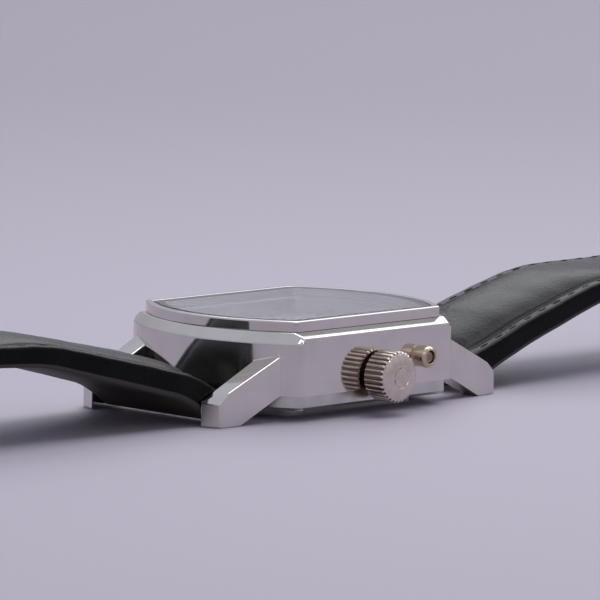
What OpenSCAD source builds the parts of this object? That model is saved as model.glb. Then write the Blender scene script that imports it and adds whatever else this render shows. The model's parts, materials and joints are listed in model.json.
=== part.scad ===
// Rectangular wristwatch with a chromed case, a fluted crown, a small pusher and a black leather strap.
// It lies open on a table, dial up. Millimetres, +Z up through the crystal, +Y towards 12 o'clock,
// +X towards the crown. The origin is the middle of the case back's flat outer face.

/* [Case] */
// Width of the case across 3 and 9 o'clock
case_w = 31.3; // [29.5:0.1:34]
// Length of the case body from end to end, without the lugs
case_l = 38.2; // [36.5:0.1:42]
// How far each curved end swells beyond the corners
end_bulge = 5.3; // [4:0.1:6.5]
// Height of the joint between case and case back above the table
seam_z = 3.35; // [3:0.05:3.8]
// Height of the flat wall at 3 and 9 o'clock
side_wall_h = 7.45; // [7.3:0.05:8.2]
// Height of the bevel above that wall
bevel_h = 0.65; // [0.4:0.05:0.9]
// Width of that bevel
bevel_w = 1.5; // [1.2:0.1:1.7]
// How much lower the wall stands at 6 and 12 o'clock
end_drop = 0.75; // [0.3:0.05:1]
// Width of the steep shoulder above the walls at 6 and 12 o'clock
shoulder_w = 0.75; // [0.5:0.05:1]
// Thickness of the case wall
case_wall = 2.8; // [2.6:0.1:3.1]

/* [Lugs] */
// Free width between two lugs
lug_gap = 20; // [19:0.5:21]
// Width of a lug at its tip
lug_tip_w = 2.5; // [2.4:0.1:3]
// Width of a lug where it leaves the case
lug_root_w = 3.4; // [3.1:0.1:3.8]
// How far the lugs' tips stand out from the bowed end, along its radius
lug_reach = 8.85; // [8.6:0.05:9.1]
// Height of the flat face at a lug's tip
lug_tip_h = 3.1; // [2.9:0.1:3.4]
// Height of a lug's upper edge where it meets the case
lug_root_z = 8.4; // [8:0.1:8.8]
// Length of the flat foot under a lug's tip
lug_foot = 4.1; // [3.6:0.1:4.4]
// Bevel above a lug's tip
lug_tip_bevel = 0.2; // [0.1:0.05:0.4]
// Distance from the middle of the case to a spring bar
bar_y = 23.7; // [23.5:0.1:24]
// Height of a spring bar above the table
bar_z = 2.5; // [2.4:0.1:2.7]

/* [Bezel and crystal] */
// Width of the bezel
bezel_w = 28.3; // [27.6:0.1:28.6]
// Length of the bezel
bezel_l = 36.7; // [35.6:0.1:36.7]
// Height of the bezel above the case
bezel_h = 1.4; // [1.2:0.1:1.8]
// Width of the bezel's visible rim
bezel_rim = 0.9; // [0.7:0.1:1.2]
// Width of the sealing ring around the crystal
crystal_seal = 0.35; // [0.3:0.05:0.5]
// Thickness of the crystal
crystal_t = 1.15; // [0.9:0.05:1.15]
// Distance from the bezel's outer edge to the opening over the dial
aperture_inset = 2.9; // [2.7:0.1:3.1]

/* [Case back] */
// How far the case back stands inside the case's outline
back_inset = 0.8; // [0.5:0.1:1]
// Height of the case back's rim
back_rim_h = 2; // [1.8:0.05:2.1]
// Bevel along the rim's lower edge
back_bevel = 0.4; // [0.2:0.05:0.5]
// Thickness of the case back's floor
back_floor = 1.2; // [0.9:0.1:1.3]
// Further inset of the raised panel that the case rests on
panel_inset = 4.2; // [3.5:0.1:5]
// Diameter of a case back screw's head
back_screw_head = 1.5; // [1.3:0.1:1.6]
// Diameter of a case back screw's thread
back_screw_d = 0.9; // [0.7:0.1:1]

/* [Crown] */
// Distance of the crown's axis from the middle of the case, towards 12 o'clock
crown_y = 0.1; // [-0.2:0.05:0.3]
// Height of the crown's axis
crown_z = 5.1; // [5.05:0.05:5.2]
// Diameter over the crown's teeth
crown_d = 6.7; // [6:0.1:7]
// Number of teeth around the crown
crown_teeth = 30; // [24:1:36]
// Depth of the crown's teeth
tooth_depth = 0.32; // [0.2:0.02:0.4]
// Length of the toothed band
band_l = 3.35; // [2.8:0.05:3.6]
// Width of the bevel at both ends of the teeth
tooth_bevel = 0.26; // [0.1:0.02:0.3]
// Height of the crown's domed end
dome_h = 0.45; // [0.3:0.05:0.6]
// Diameter of the flat disc in the middle of the domed end
dome_flat_d = 2.7; // [2:0.1:3.6]
// Gap between the case and the pushed-in crown
crown_gap = 0.45; // [0.3:0.05:0.5]
// How far the crown pulls out to set the time
crown_pull = 0.9; // [0.6:0.05:1]
// Outer diameter of the crown's tube
tube_d = 2.6; // [2.5:0.1:2.7]
// Diameter of the winding stem
stem_d = 1.2; // [1:0.1:1.3]

/* [Pusher] */
// Distance of the pusher's axis from the middle of the case, towards 12 o'clock
pusher_y = 7.55; // [7.2:0.05:7.7]
// Height of the pusher's axis
pusher_z = 6.95; // [6.8:0.05:7.1]
// Outer diameter of the pusher's tube
pusher_tube_d = 2.8; // [2.6:0.02:2.9]
// How far the tube stands out of the case
pusher_out = 2.3; // [2.1:0.05:2.6]
// Width of the bevel around the tube's front edge
pusher_edge = 0.35; // [0.1:0.05:0.45]
// Diameter of the button in the tube
button_d = 1.56; // [1.4:0.02:1.6]
// How far the button travels
pusher_travel = 0.9; // [0.6:0.05:1]
// Diameter of the button's rod
rod_d = 0.7; // [0.6:0.05:0.8]
// Wire of the return spring
spring_wire = 0.16; // [0.12:0.02:0.18]

/* [Dial and hands] */
// Height of the dial's upper face above the table
dial_z = 8.6; // [8.5:0.05:8.8]
// Thickness of the dial
dial_t = 0.4; // [0.3:0.05:0.45]
// Height of an applied hour marker
marker_h = 0.2; // [0.1:0.05:0.25]
// Length of the hour hand from the centre
hour_hand_l = 6.6; // [5:0.1:7.5]
// Length of the minute hand from the centre
minute_hand_l = 9.6; // [8:0.1:10.2]
// Length of the seconds hand from the centre
seconds_hand_l = 9.2; // [8:0.1:10.2]
// Thickness of a hand
hand_t = 0.15; // [0.1:0.01:0.2]

/* [Movement] */
// Diameter of the main plate
plate_d = 19.4; // [19:0.1:20]
// Thickness of the train bridge
bridge_t = 0.4; // [0.3:0.05:0.45]
// Diameter of the battery
battery_d = 7.9; // [6.8:0.1:7.9]
// Thickness of the battery
battery_t = 2; // [1.6:0.1:2]
// Thickness of a gear wheel
wheel_t = 0.2; // [0.15:0.01:0.22]
// Distance from the centre to the fifth wheel
fifth_a = 3.12; // [3.1:0.01:3.2]
// Distance from the fifth wheel to the rotor
rotor_a = 2.8; // [2.7:0.01:2.85]
// Distance from the centre to the third wheel
third_a = 3; // [2.98:0.01:3.02]
// Distance from the centre to the minute wheel
motion_a = 2.6; // [2.5:0.01:2.7]
// Diameter of the rotor's magnet
magnet_d = 1.5; // [1.2:0.1:1.6]
// Length of the coil
coil_l = 7.3; // [7:0.1:7.4]

/* [Strap] */
// Thickness of the strap's loops around the spring bars
strap_root_t = 4; // [3.8:0.1:4.2]
// Thickness of the strap's edges near the case
strap_edge_t = 3.3; // [3:0.1:3.5]
// Height of the padding above those edges
pad_h = 1.3; // [0.6:0.1:1.6]
// Width of the flat margin on each side of the padding
pad_margin = 1.8; // [1.4:0.1:2.4]
// Thickness of the strap at its thin ends
strap_end_t = 2.3; // [2:0.1:2.4]
// Width of the strap at the buckle
strap_end_w = 16; // [15:0.5:17]
// Length of the flat end of the long half, with the holes
strap_flat_l = 42; // [38:1:50]
// Number of holes in the long half
hole_count = 7; // [5:1:8]
// Distance between two holes
hole_pitch = 5; // [4:0.5:5.5]
// Diameter of a hole
hole_d = 1.8; // [1.6:0.1:2.2]
// Slope of the long half's way down to the table, in degrees
long_slope = 30; // [24:1:34]
// Slope of the short half's way down to the buckle, in degrees
short_slope = 25; // [24:1:28]
// Diameter of a spring bar's tube
bar_d = 1.5; // [1.3:0.1:1.6]
// Diameter of a spring bar's end pin
pin_d = 0.8; // [0.6:0.05:0.85]

/* [Keepers and buckle] */
// Length of a keeper along the strap
keeper_l = 4.5; // [4:0.1:5]
// Thickness of a keeper's leather
keeper_t = 1; // [0.8:0.1:1.2]
// Clear height inside a keeper
keeper_room = 4.8; // [4.6:0.1:5.2]
// Distance of the fixed keeper's middle from the buckle's bar
fixed_keeper_at = 8.2; // [7:0.1:9]
// Clear width inside the buckle
buckle_gap = 17; // [16.6:0.1:18]
// Length of the buckle from its bar to the outside of its front bar
buckle_l = 10; // [9:0.5:12]
// Width of a side arm of the buckle
buckle_arm = 1.8; // [1.5:0.1:2.2]
// Thickness of the buckle's arms
buckle_t = 1.7; // [1.5:0.1:1.8]
// Diameter of the tongue
tongue_d = 1.1; // [0.9:0.1:1.3]

/* [Fits] */
// Gap between fixed pieces
fit = 0.05; // [0.03:0.01:0.08]
// Gap around a piece that is pressed in
press = 0.02; // [0.01:0.01:0.03]
// Gap around a turning or sliding shaft
run = 0.06; // [0.04:0.01:0.1]
// Gap between a leather piece and what lies beside it
soft = 0.15; // [0.1:0.01:0.2]

/* [Hidden] */
$fn = 64;

// Colours
CHROME = [0.78, 0.77, 0.79];
STEEL = [0.66, 0.66, 0.68];
BRASS = [0.80, 0.66, 0.38];
RUBBER = [0.12, 0.12, 0.13];
LEATHER = [0.10, 0.10, 0.11];
GLASS = [0.80, 0.85, 0.92];
WHITE = [0.93, 0.92, 0.88];
PLASTIC = [0.92, 0.92, 0.86];
COPPER = [0.72, 0.40, 0.20];
BOARD = [0.10, 0.35, 0.20];

// Case outline: two arcs and two straight sides
half_w = case_w / 2;
half_l = case_l / 2;
end_r = (half_w * half_w + end_bulge * end_bulge) / (2 * end_bulge);
end_c = end_r - half_l;
seat_z = seam_z + side_wall_h + bevel_h;
side_top_z = seam_z + side_wall_h;
end_top_z = side_top_z - end_drop;
bezel_hw = bezel_w / 2;
bezel_hl = bezel_l / 2;
bezel_r = (bezel_hw * bezel_hw + end_bulge * end_bulge) / (2 * end_bulge);
bezel_c = bezel_r - bezel_hl;
bezel_top_z = seat_z + bezel_h;
edge = 0.15;

// Inside of the case
corner_y = sqrt(pow(end_r - case_wall, 2) - pow(half_w - case_wall, 2)) - end_c;
cavity_r = norm([half_w - case_wall, corner_y]) - 0.5;
dial_back_z = dial_z - dial_t;
spigot_h = 0.7;
spigot_t = 0.8;
spigot_inset = 1.6;

// Case back
back_rim_z = seam_z - back_rim_h;
back_ledge_z = back_rim_z + 0.9;
gasket_w = 0.55;
gasket_h = 0.6;
gasket_inset = 0.15;
screw_x = half_w - back_inset - back_screw_head / 2 - 0.2;
screw_y = sqrt(pow(cavity_r + gasket_w + gasket_inset + back_screw_head / 2 + 0.12, 2) - screw_x * screw_x);
screw_head_h = 0.5;
screw_l = 1.6;

// Lugs
lug_in = lug_gap / 2;
lug_r = end_r + lug_reach;
lug_tip_y = sqrt(lug_r * lug_r - lug_in * lug_in) - end_c;
lug_root_y = half_l - case_wall - 1.5;
lug_exit_y = half_l - 3.4;
lug_back_z = seam_z;

// Crown and stem
crown_x = half_w + crown_gap;
crown_r = crown_d / 2;
band_r = crown_r - tooth_depth;
crown_end_x = crown_x + band_l;
tube_bore = stem_d / 2 + run;
flange_r = tube_d / 2 + 0.25;
tube_in = half_w - case_wall - 0.4;
tube_out = crown_x + 1.9;
crown_bore_r = tube_d / 2 + 0.62;
crown_bore_l = 2.4;
gasket_x = crown_x + 0.4;
gasket_l = 0.5;
stem_end_x = crown_x + crown_bore_l + 0.7;
stem_tip_x = 5.35;
lever_groove_x = 6.6;
lever_groove_l = 0.7;
stem_slot_w = stem_d + 0.5;
lever_pivot = [lever_groove_x + lever_groove_l / 2 + 0.25, 2.4 + crown_y];
lever_z = crown_z + stem_d / 2 + 0.08;
lever_t = 0.17;
lever_rod_r = 0.3;

// Pusher
pusher_face = half_w + pusher_out;
button_x = pusher_face - 0.22;
button_l = 1.75;
pusher_hole_r = pusher_tube_d / 2 - 0.3;
pusher_tube_in = half_w - case_wall - 0.25;
tube_floor = 0.5;
rod_tip_x = pusher_tube_in - 1.1;
clip_t = 0.25;
button_bore = button_d / 2 + run;

// Movement levels, from the case back up to the dial
plate_r = plate_d / 2;
recess_z = dial_back_z - 0.75;
web_t = 0.4;
web_z = recess_z - web_t;
bridge_top_z = web_z - 1.7;
bridge_z = bridge_top_z - bridge_t;
wheel_1_z = bridge_top_z + 0.1;
wheel_2_z = wheel_1_z + 0.4;
wheel_3_z = wheel_2_z + 0.4;
wheel_4_z = wheel_3_z + 0.4;
motion_1_z = recess_z + 0.08;
motion_2_z = motion_1_z + 0.32;
holder_skirt = 0.9;
holder_slot = 0.2;
rim_t = 1.1;
bridge_screw_r = 0.5;

// Gear train: teeth counts and the angles at which the wheels stand around the centre
rotor_teeth = 8;
fifth_teeth = 48;
fifth_pinion = 8;
fourth_teeth = 40;
fourth_pinion = 8;
third_teeth = 60;
third_pinion = 8;
center_teeth = 64;
cannon_teeth = 12;
minute_teeth = 36;
minute_pinion = 10;
hour_teeth = 40;
fifth_angle = 30;
third_angle = 230;
minute_angle = 300;
rotor_angle = 60;
fifth_at = fifth_a * [cos(fifth_angle), sin(fifth_angle)];
rotor_at = fifth_at + rotor_a * [cos(rotor_angle), sin(rotor_angle)];
third_at = third_a * [cos(third_angle), sin(third_angle)];
minute_at = motion_a * [cos(minute_angle), sin(minute_angle)];
arbor_r = 0.13;
seconds_arbor_r = 0.15;
cannon_r = 0.42;
cannon_bore = seconds_arbor_r + run;
pipe_r = 0.72;
pipe_bore = cannon_r + run;

// Hands
hour_hand_z = dial_z + marker_h + 0.15;
minute_hand_z = hour_hand_z + hand_t + 0.3;
seconds_hand_z = minute_hand_z + hand_t + 0.3;

// Battery and coil
battery_at = [-5.1, -2.4];
battery_z = bridge_z - fit - battery_t;
coil_y = 6.9;
coil_z = bridge_z - 1.3;
coil_r = 1;
coil_x0 = -1.3;
core_end = 0.8;
board_t = 0.5;
board_z = bridge_z - board_t;

// Spring bars
bar_half = lug_in - 1.3;
flange_t = 0.3;
pin_travel = 0.9;
flange_x = bar_half + pin_travel + 0.05;
pin_end = lug_in + 0.85;
bar_bore = pin_d / 2 + run;

// Strap: each stretch is [length, angle at its end], starting at the spring bar and going outwards
strap_root_w = lug_gap - 2 * soft;
pad_w = strap_root_w - 2 * pad_margin - 0.6;
loop_r = strap_root_t / 2;
loop_bore = bar_d / 2 + 0.1;
rest_gap = 0.02;
long_start = 32;
long_rise = [[3, 31], [4, 14.5], [20, 13.5], [5, 3], [9, 2]];
long_bend = [13, -long_slope];
long_lay = [12, 0];
short_start = 22;
short_rise = [[7, 20], [9, 17], [11, 15], [8, 1], [14, 2]];
short_bend = [10, -short_slope];
buckle_bar_d = 1.3;
buckle_loop_r = strap_end_t / 2 + 0.55;
tongue_slot_w = tongue_d + 0.9;
tongue_slot_l = 2.6;
last_hole = 14;
tall = 40;
buckle_bar_z = buckle_loop_r + 0.15;

function turn(a, b) = (b - a) * PI / 180;
function stretch_rise(l, a, b) = a == b ? l * sin(a) : l * (cos(a) - cos(b)) / turn(a, b);
function stretch_run(l, a, b) = a == b ? l * cos(a) : l * (sin(b) - sin(a)) / turn(a, b);
function stretch_angle(path, start, i) = i < 0 ? start : path[i][1];
function path_rise(path, start) = sum_list([for (i = [0:len(path) - 1])
    stretch_rise(path[i][0], stretch_angle(path, start, i - 1), path[i][1])]);
function sum_list(v, i = 0) = i >= len(v) ? 0 : v[i] + sum_list(v, i + 1);
function path_length(path) = sum_list([for (s = path) s[0]]);

// The straight way down is as long as it must be for the strap's end to reach its resting height
long_top = concat(long_rise, [long_bend]);
long_drop = bar_z + path_rise(long_top, long_start) + stretch_rise(long_lay[0], -long_slope, 0)
    - strap_end_t / 2 - rest_gap;
long_path = concat(long_top, [[long_drop / sin(long_slope), -long_slope], long_lay, [strap_flat_l, 0]]);
short_top = concat(short_rise, [short_bend]);
short_drop = bar_z + path_rise(short_top, short_start) - buckle_bar_z;
short_down = short_drop / sin(short_slope);
short_path = concat(short_top, [[short_down, -short_slope]]);

// Points along a path: [distance out, height, angle, distance along the strap]
steps = 6;
function stretch_points(o, l, a, b, s0) = [for (k = [1:steps])
    let (t = k / steps, m = a + (b - a) * t)
    [o[0] + stretch_run(l * t, a, m), o[1] + stretch_rise(l * t, a, m), m, s0 + l * t]];
function path_points(path, start, i = 0, pts = []) = i == len(path) ? pts :
    let (last = pts[len(pts) - 1],
        a = stretch_angle(path, start, i - 1),
        n = path[i][0] < 0.01 ? [] : stretch_points([last[0], last[1]], path[i][0], a, path[i][1], last[3]))
    path_points(path, start, i + 1, concat(pts, n));
long_points = path_points(long_path, long_start, 0, [[bar_y, bar_z, long_start, 0]]);
short_points = path_points(short_path, short_start, 0, [[bar_y, bar_z, short_start, 0]]);
long_length = path_length(long_path);
short_length = path_length(short_path);
free_keeper_at = fixed_keeper_at + keeper_l + 2;
short_flat_l = 18;
long_pad = [for (p = long_points) if (p[3] < long_length - strap_flat_l) p];
short_pad = [for (p = short_points) if (p[3] < short_length - short_flat_l) p];
long_end_y = long_points[len(long_points) - 1][0];
buckle_bar_y = short_points[len(short_points) - 1][0];
edge_t = [[0, strap_root_t], [7, strap_edge_t], [22, strap_edge_t - 0.2], [34, strap_end_t + 0.4],
    [60, strap_end_t], [200, strap_end_t]];
pad_t = [[0, 0], [3, pad_h], [12, pad_h], [28, pad_h * 0.7], [44, 0.2], [60, 0.1], [200, 0.1]];

// Outline helpers: a straight-sided shape with an arc at each end, inset alike all round
module outline(inset = 0, w = half_w, r = end_r, c = end_c) {
    intersection() {
        square([2 * (w - inset), 4 * w], center = true);
        translate([0, c]) circle(r - inset, $fn = 128);
        translate([0, -c]) circle(r - inset, $fn = 128);
    }
}

module bezel_outline(inset = 0) {
    outline(inset, bezel_hw, bezel_r, bezel_c);
}

// The inside of the case, with its corners cut round to leave metal for the screws
module cavity_outline(inset = 0) {
    intersection() {
        outline(case_wall + inset);
        circle(cavity_r - inset, $fn = 128);
    }
}

// A solid of that outline whose ends and sides follow profiles of [inset, height]
module profiled(ends, sides, w = half_w, r = end_r, c = end_c) {
    low = ends[0][1];
    high = ends[len(ends) - 1][1];
    ring = concat([[0, low]], [for (p = ends) [r - p[0], p[1]]], [[0, high]]);
    right = [for (p = sides) [w - p[0], p[1]]];
    left = [for (i = [len(sides) - 1:-1:0]) [sides[i][0] - w, sides[i][1]]];
    intersection() {
        translate([0, c, 0]) rotate_extrude($fn = 128) polygon(ring);
        translate([0, -c, 0]) rotate_extrude($fn = 128) polygon(ring);
        rotate([90, 0, 0]) linear_extrude(4 * w, center = true) polygon(concat(right, left));
    }
}

// A rod along X
module x_rod(r, x0, x1, y = 0, z = 0, fn = 48) {
    translate([x0, y, z]) rotate([0, 90, 0]) cylinder(r = r, h = x1 - x0, $fn = fn);
}

// An upright rod
module z_rod(r, z0, z1, at = [0, 0], fn = 48) {
    translate([at[0], at[1], z0]) cylinder(r = r, h = z1 - z0, $fn = fn);
}

// Toothed wheel outline: slim teeth with room to turn in mesh
module wheel_outline(teeth, m) {
    pitch = 360 / teeth;
    tip = m * (teeth / 2 + 0.7);
    root = m * (teeth / 2 - 0.95);
    polygon([for (i = [0:teeth - 1], k = [[root, -0.24], [tip, -0.1], [tip, 0.1], [root, 0.24]])
        k[0] * [cos((i + k[1]) * pitch), sin((i + k[1]) * pitch)]]);
}

module wheel(teeth, m, z, at = [0, 0], spin = 0, t = wheel_t, bore = 0) {
    translate([at[0], at[1], z]) rotate([0, 0, spin]) difference() {
        linear_extrude(t) wheel_outline(teeth, m);
        if (bore > 0) translate([0, 0, -1]) cylinder(r = bore, h = t + 2, $fn = 48);
    }
}

// Turns a wheel so that a gap faces the tooth of the wheel at the given angle
function mesh_spin(angle, teeth) = angle + 180 + 180 / teeth;

module mid_case() {
    color(CHROME) difference() {
        union() {
            profiled([[0, seam_z], [0, end_top_z], [shoulder_w, seat_z]],
                [[0, seam_z], [0, side_top_z], [bevel_w, seat_z]]);
            for (sx = [-1, 1], sy = [-1, 1])
                lug(sx, sy);
        }
        translate([0, 0, -1]) linear_extrude(seam_z + 1) outline(back_inset - fit);
        translate([0, 0, seam_z - 1]) linear_extrude(dial_z - seam_z + 1) cavity_outline();
        translate([0, 0, seam_z]) linear_extrude(bezel_h + side_wall_h) bezel_outline(aperture_inset);
        translate([0, 0, seat_z - spigot_h - fit]) linear_extrude(spigot_h + 1)
            bezel_outline(spigot_inset - fit);
        x_rod(tube_d / 2 + press, half_w - case_wall - 1, half_w + 1, crown_y, crown_z);
        x_rod(pusher_hole_r, half_w - case_wall - 1, half_w + 1, pusher_y, pusher_z);
        for (sx = [-1, 1], sy = [-1, 1]) {
            z_rod(back_screw_d / 2, seam_z - 1, seam_z + screw_l, [sx * screw_x, sy * screw_y]);
            x_rod(pin_d / 2 + run, sx > 0 ? lug_in - 1 : -pin_end - 0.3, sx > 0 ? pin_end + 0.3 : 1 - lug_in,
                sy * bar_y, bar_z);
        }
    }
}

// A lug slopes from the case down to a flat foot, and its outer side leans in towards the tip
// The tips of the lugs lie on an arc about the same centre as the bowed end
module lug(sx, sy) {
    past = 0.5;
    top_z = lug_tip_h + lug_tip_bevel;
    slope = (lug_root_z - top_z) / (lug_tip_y - lug_exit_y);
    side = [[lug_root_y, lug_back_z], [lug_exit_y, lug_back_z], [lug_tip_y - lug_foot, 0], [lug_tip_y + past, 0],
        [lug_tip_y + past, top_z - slope * past], [lug_exit_y, lug_root_z], [lug_root_y, lug_root_z]];
    root_out = lug_in + lug_root_w;
    plan = [[lug_in, lug_root_y], [lug_in, lug_tip_y + past], [lug_in + lug_tip_w, lug_tip_y + past],
        [root_out, lug_exit_y], [root_out, lug_root_y]];
    rise = lug_root_z - lug_tip_h;
    tip = [[0, 0], [lug_r, 0], [lug_r, lug_tip_h], [lug_r - rise, lug_root_z], [0, lug_root_z]];
    mirror([sx < 0 ? 1 : 0, 0, 0]) mirror([0, sy < 0 ? 1 : 0, 0]) intersection() {
        rotate([90, 0, 90]) linear_extrude(2 * root_out) polygon(side);
        translate([0, 0, -1]) linear_extrude(lug_root_z + 2) polygon(plan);
        translate([0, -end_c, 0]) rotate_extrude($fn = 256) polygon(tip);
    }
}

module bezel() {
    profile = [[0, seat_z], [0, bezel_top_z - edge], [edge, bezel_top_z]];
    color(CHROME) difference() {
        union() {
            profiled(profile, profile, bezel_hw, bezel_r, bezel_c);
            translate([0, 0, seat_z - spigot_h]) linear_extrude(spigot_h + 0.1) difference() {
                bezel_outline(spigot_inset);
                bezel_outline(spigot_inset + spigot_t);
            }
        }
        translate([0, 0, bezel_top_z - crystal_t]) linear_extrude(crystal_t + 1) bezel_outline(bezel_rim);
        translate([0, 0, seat_z - 0.2]) linear_extrude(bezel_h) bezel_outline(aperture_inset - 0.5);
    }
}

module crystal_gasket() {
    color(RUBBER) translate([0, 0, bezel_top_z - crystal_t]) linear_extrude(crystal_t - 0.12) difference() {
        bezel_outline(bezel_rim);
        bezel_outline(bezel_rim + crystal_seal);
    }
}

module crystal() {
    inset = bezel_rim + crystal_seal;
    profile = [[inset, bezel_top_z - crystal_t], [inset, bezel_top_z - 0.1], [inset + 0.1, bezel_top_z]];
    color(GLASS) profiled(profile, profile, bezel_hw, bezel_r, bezel_c);
}

module case_back() {
    rim = [[back_inset + back_bevel, back_rim_z], [back_inset, back_rim_z + back_bevel], [back_inset, seam_z]];
    color(CHROME) difference() {
        union() {
            profiled(rim, rim);
            linear_extrude(back_rim_z + 0.5) outline(back_inset + panel_inset);
        }
        translate([0, 0, back_floor]) linear_extrude(seam_z) outline(back_inset + panel_inset + 1);
        translate([0, 0, back_ledge_z]) linear_extrude(seam_z) cavity_outline(0.4);
        translate([0, 0, seam_z - gasket_h]) linear_extrude(gasket_h + 1) gasket_ring();
        for (sx = [-1, 1], sy = [-1, 1]) {
            z_rod(back_screw_d / 2 + run, 0, seam_z + 1, [sx * screw_x, sy * screw_y]);
            z_rod(back_screw_head / 2 + run, 0, back_rim_z + screw_head_h, [sx * screw_x, sy * screw_y]);
        }
    }
}

module gasket_ring() {
    difference() {
        cavity_outline(-gasket_inset - gasket_w);
        cavity_outline(-gasket_inset);
    }
}

module case_back_gasket() {
    color(RUBBER) translate([0, 0, seam_z - gasket_h]) linear_extrude(gasket_h) gasket_ring();
}

module case_back_screws() {
    color(STEEL) for (sx = [-1, 1], sy = [-1, 1]) difference() {
        union() {
            z_rod(back_screw_head / 2, back_rim_z, back_rim_z + screw_head_h, [sx * screw_x, sy * screw_y]);
            z_rod(back_screw_d / 2, back_rim_z, seam_z + screw_l - 0.1, [sx * screw_x, sy * screw_y]);
        }
        translate([sx * screw_x, sy * screw_y, back_rim_z])
            cube([0.25, back_screw_head + 1, 0.4], center = true);
    }
}

module crown_tube() {
    color(STEEL) difference() {
        union() {
            x_rod(tube_d / 2, tube_in, tube_out, crown_y, crown_z);
            x_rod(flange_r, tube_in, half_w - case_wall - 0.02, crown_y, crown_z);
        }
        x_rod(tube_bore, tube_in - 1, tube_out + 1, crown_y, crown_z);
    }
}

// Toothed outline of the crown
module crown_teeth_outline() {
    pitch = 360 / crown_teeth;
    polygon([for (i = [0:crown_teeth - 1],
        k = [[band_r, -0.32], [crown_r - 0.06, -0.2], [crown_r, 0], [crown_r - 0.06, 0.2], [band_r, 0.32]])
        k[0] * [cos((i + k[1]) * pitch), sin((i + k[1]) * pitch)]]);
}

// A piece that turns about the crown's axis, drawn upright from its inner end
module on_crown_axis(x) {
    translate([x, crown_y, crown_z]) rotate([0, 90, 0]) children();
}

module crown() {
    dome_r = (pow(band_r - dome_flat_d / 2, 2) + dome_h * dome_h) / (2 * dome_h);
    dome = [for (k = [0:6])
        let (a = asin((band_r - dome_flat_d / 2) / dome_r) * k / 6)
        [dome_flat_d / 2 + dome_r * sin(a), dome_h - dome_r * (1 - cos(a))]];
    color(CHROME) difference() {
        union() {
            on_crown_axis(crown_x) intersection() {
                linear_extrude(band_l) crown_teeth_outline();
                rotate_extrude() polygon([[0, 0], [crown_r - tooth_bevel, 0], [crown_r, tooth_bevel],
                    [crown_r, band_l - tooth_bevel], [crown_r - tooth_bevel, band_l], [0, band_l]]);
            }
            on_crown_axis(crown_end_x) rotate_extrude()
                polygon(concat([[0, -0.1], [0, dome_h]], dome, [[band_r, -0.1]]));
        }
        on_crown_axis(crown_x - 1) cylinder(r = crown_bore_r, h = crown_bore_l + 1);
        x_rod(stem_d / 2, crown_x, stem_end_x, crown_y, crown_z);
        on_crown_axis(crown_end_x + dome_h) rotate_extrude() translate([dome_flat_d / 2 - 0.15, -0.08])
            square([0.15, 1]);
    }
}

module crown_gasket() {
    color(RUBBER) on_crown_axis(gasket_x) difference() {
        cylinder(r = crown_bore_r - 0.02, h = gasket_l);
        translate([0, 0, -1]) cylinder(r = tube_d / 2 + 0.02, h = gasket_l + 2);
    }
}

// The stem carries a small pinion at its inner end and a groove for the setting lever
module stem() {
    color(STEEL) difference() {
        union() {
            x_rod(stem_d / 2, stem_tip_x, stem_end_x, crown_y, crown_z);
            translate([stem_tip_x + 0.3, crown_y, crown_z]) rotate([0, 90, 0])
                linear_extrude(0.8) wheel_outline(12, 0.11);
        }
        difference() {
            x_rod(stem_d, lever_groove_x, lever_groove_x + lever_groove_l, crown_y, crown_z);
            x_rod(stem_d / 2 - 0.22, lever_groove_x - 1, lever_groove_x + lever_groove_l + 1, crown_y, crown_z);
        }
    }
}

// The lever lies over the stem: its pin stands in the stem's groove, and swings with it when the crown is pulled
module setting_lever() {
    pin_at = [lever_groove_x + lever_groove_l / 2, crown_y];
    color(STEEL) {
        z_rod(0.6, lever_z, lever_z + lever_t, lever_pivot);
        z_rod(lever_rod_r, lever_z, web_z + 0.4, lever_pivot);
        z_rod(0.17, lever_z - 0.2, lever_z + lever_t, pin_at);
        hull() {
            z_rod(0.3, lever_z, lever_z + lever_t, lever_pivot, 24);
            z_rod(0.22, lever_z, lever_z + lever_t, pin_at, 24);
        }
    }
}

module pusher_tube() {
    color(CHROME) difference() {
        union() {
            x_rod(pusher_hole_r - press, pusher_tube_in, half_w + 0.1, pusher_y, pusher_z);
            on_pusher_axis(half_w) rotate_extrude() polygon([[0, 0], [pusher_tube_d / 2, 0],
                [pusher_tube_d / 2, pusher_out - pusher_edge], [pusher_tube_d / 2 - pusher_edge, pusher_out],
                [0, pusher_out]]);
        }
        x_rod(button_bore, pusher_tube_in + tube_floor, pusher_face + 1, pusher_y, pusher_z);
        x_rod(rod_d / 2 + run, pusher_tube_in - 1, pusher_face, pusher_y, pusher_z);
    }
}

module on_pusher_axis(x) {
    translate([x, pusher_y, pusher_z]) rotate([0, 90, 0]) children();
}

module pusher() {
    r = button_d / 2;
    color(CHROME) {
        on_pusher_axis(button_x - button_l) rotate_extrude() polygon([[0, 0], [r, 0],
            [r, button_l - 0.2], [r - 0.12, button_l - 0.06], [r * 0.45, button_l], [0, button_l]]);
        difference() {
            x_rod(rod_d / 2, rod_tip_x, button_x - button_l + 0.1, pusher_y, pusher_z);
            difference() {
                x_rod(rod_d, clip_x(), clip_x() + clip_t, pusher_y, pusher_z);
                x_rod(rod_d / 2 - 0.1, clip_x() - 1, clip_x() + 1, pusher_y, pusher_z);
            }
        }
    }
}

function clip_x() = pusher_tube_in - clip_t - 0.03;

module pusher_clip() {
    color(STEEL) on_pusher_axis(clip_x() + 0.02) difference() {
        cylinder(r = rod_d / 2 + 0.4, h = clip_t - 0.04);
        translate([0, 0, -1]) cylinder(r = rod_d / 2 - 0.1 + 0.02, h = clip_t + 2);
        translate([rod_d, 0, 0]) cube([2 * rod_d, rod_d * 0.7, 2], center = true);
    }
}

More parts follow.
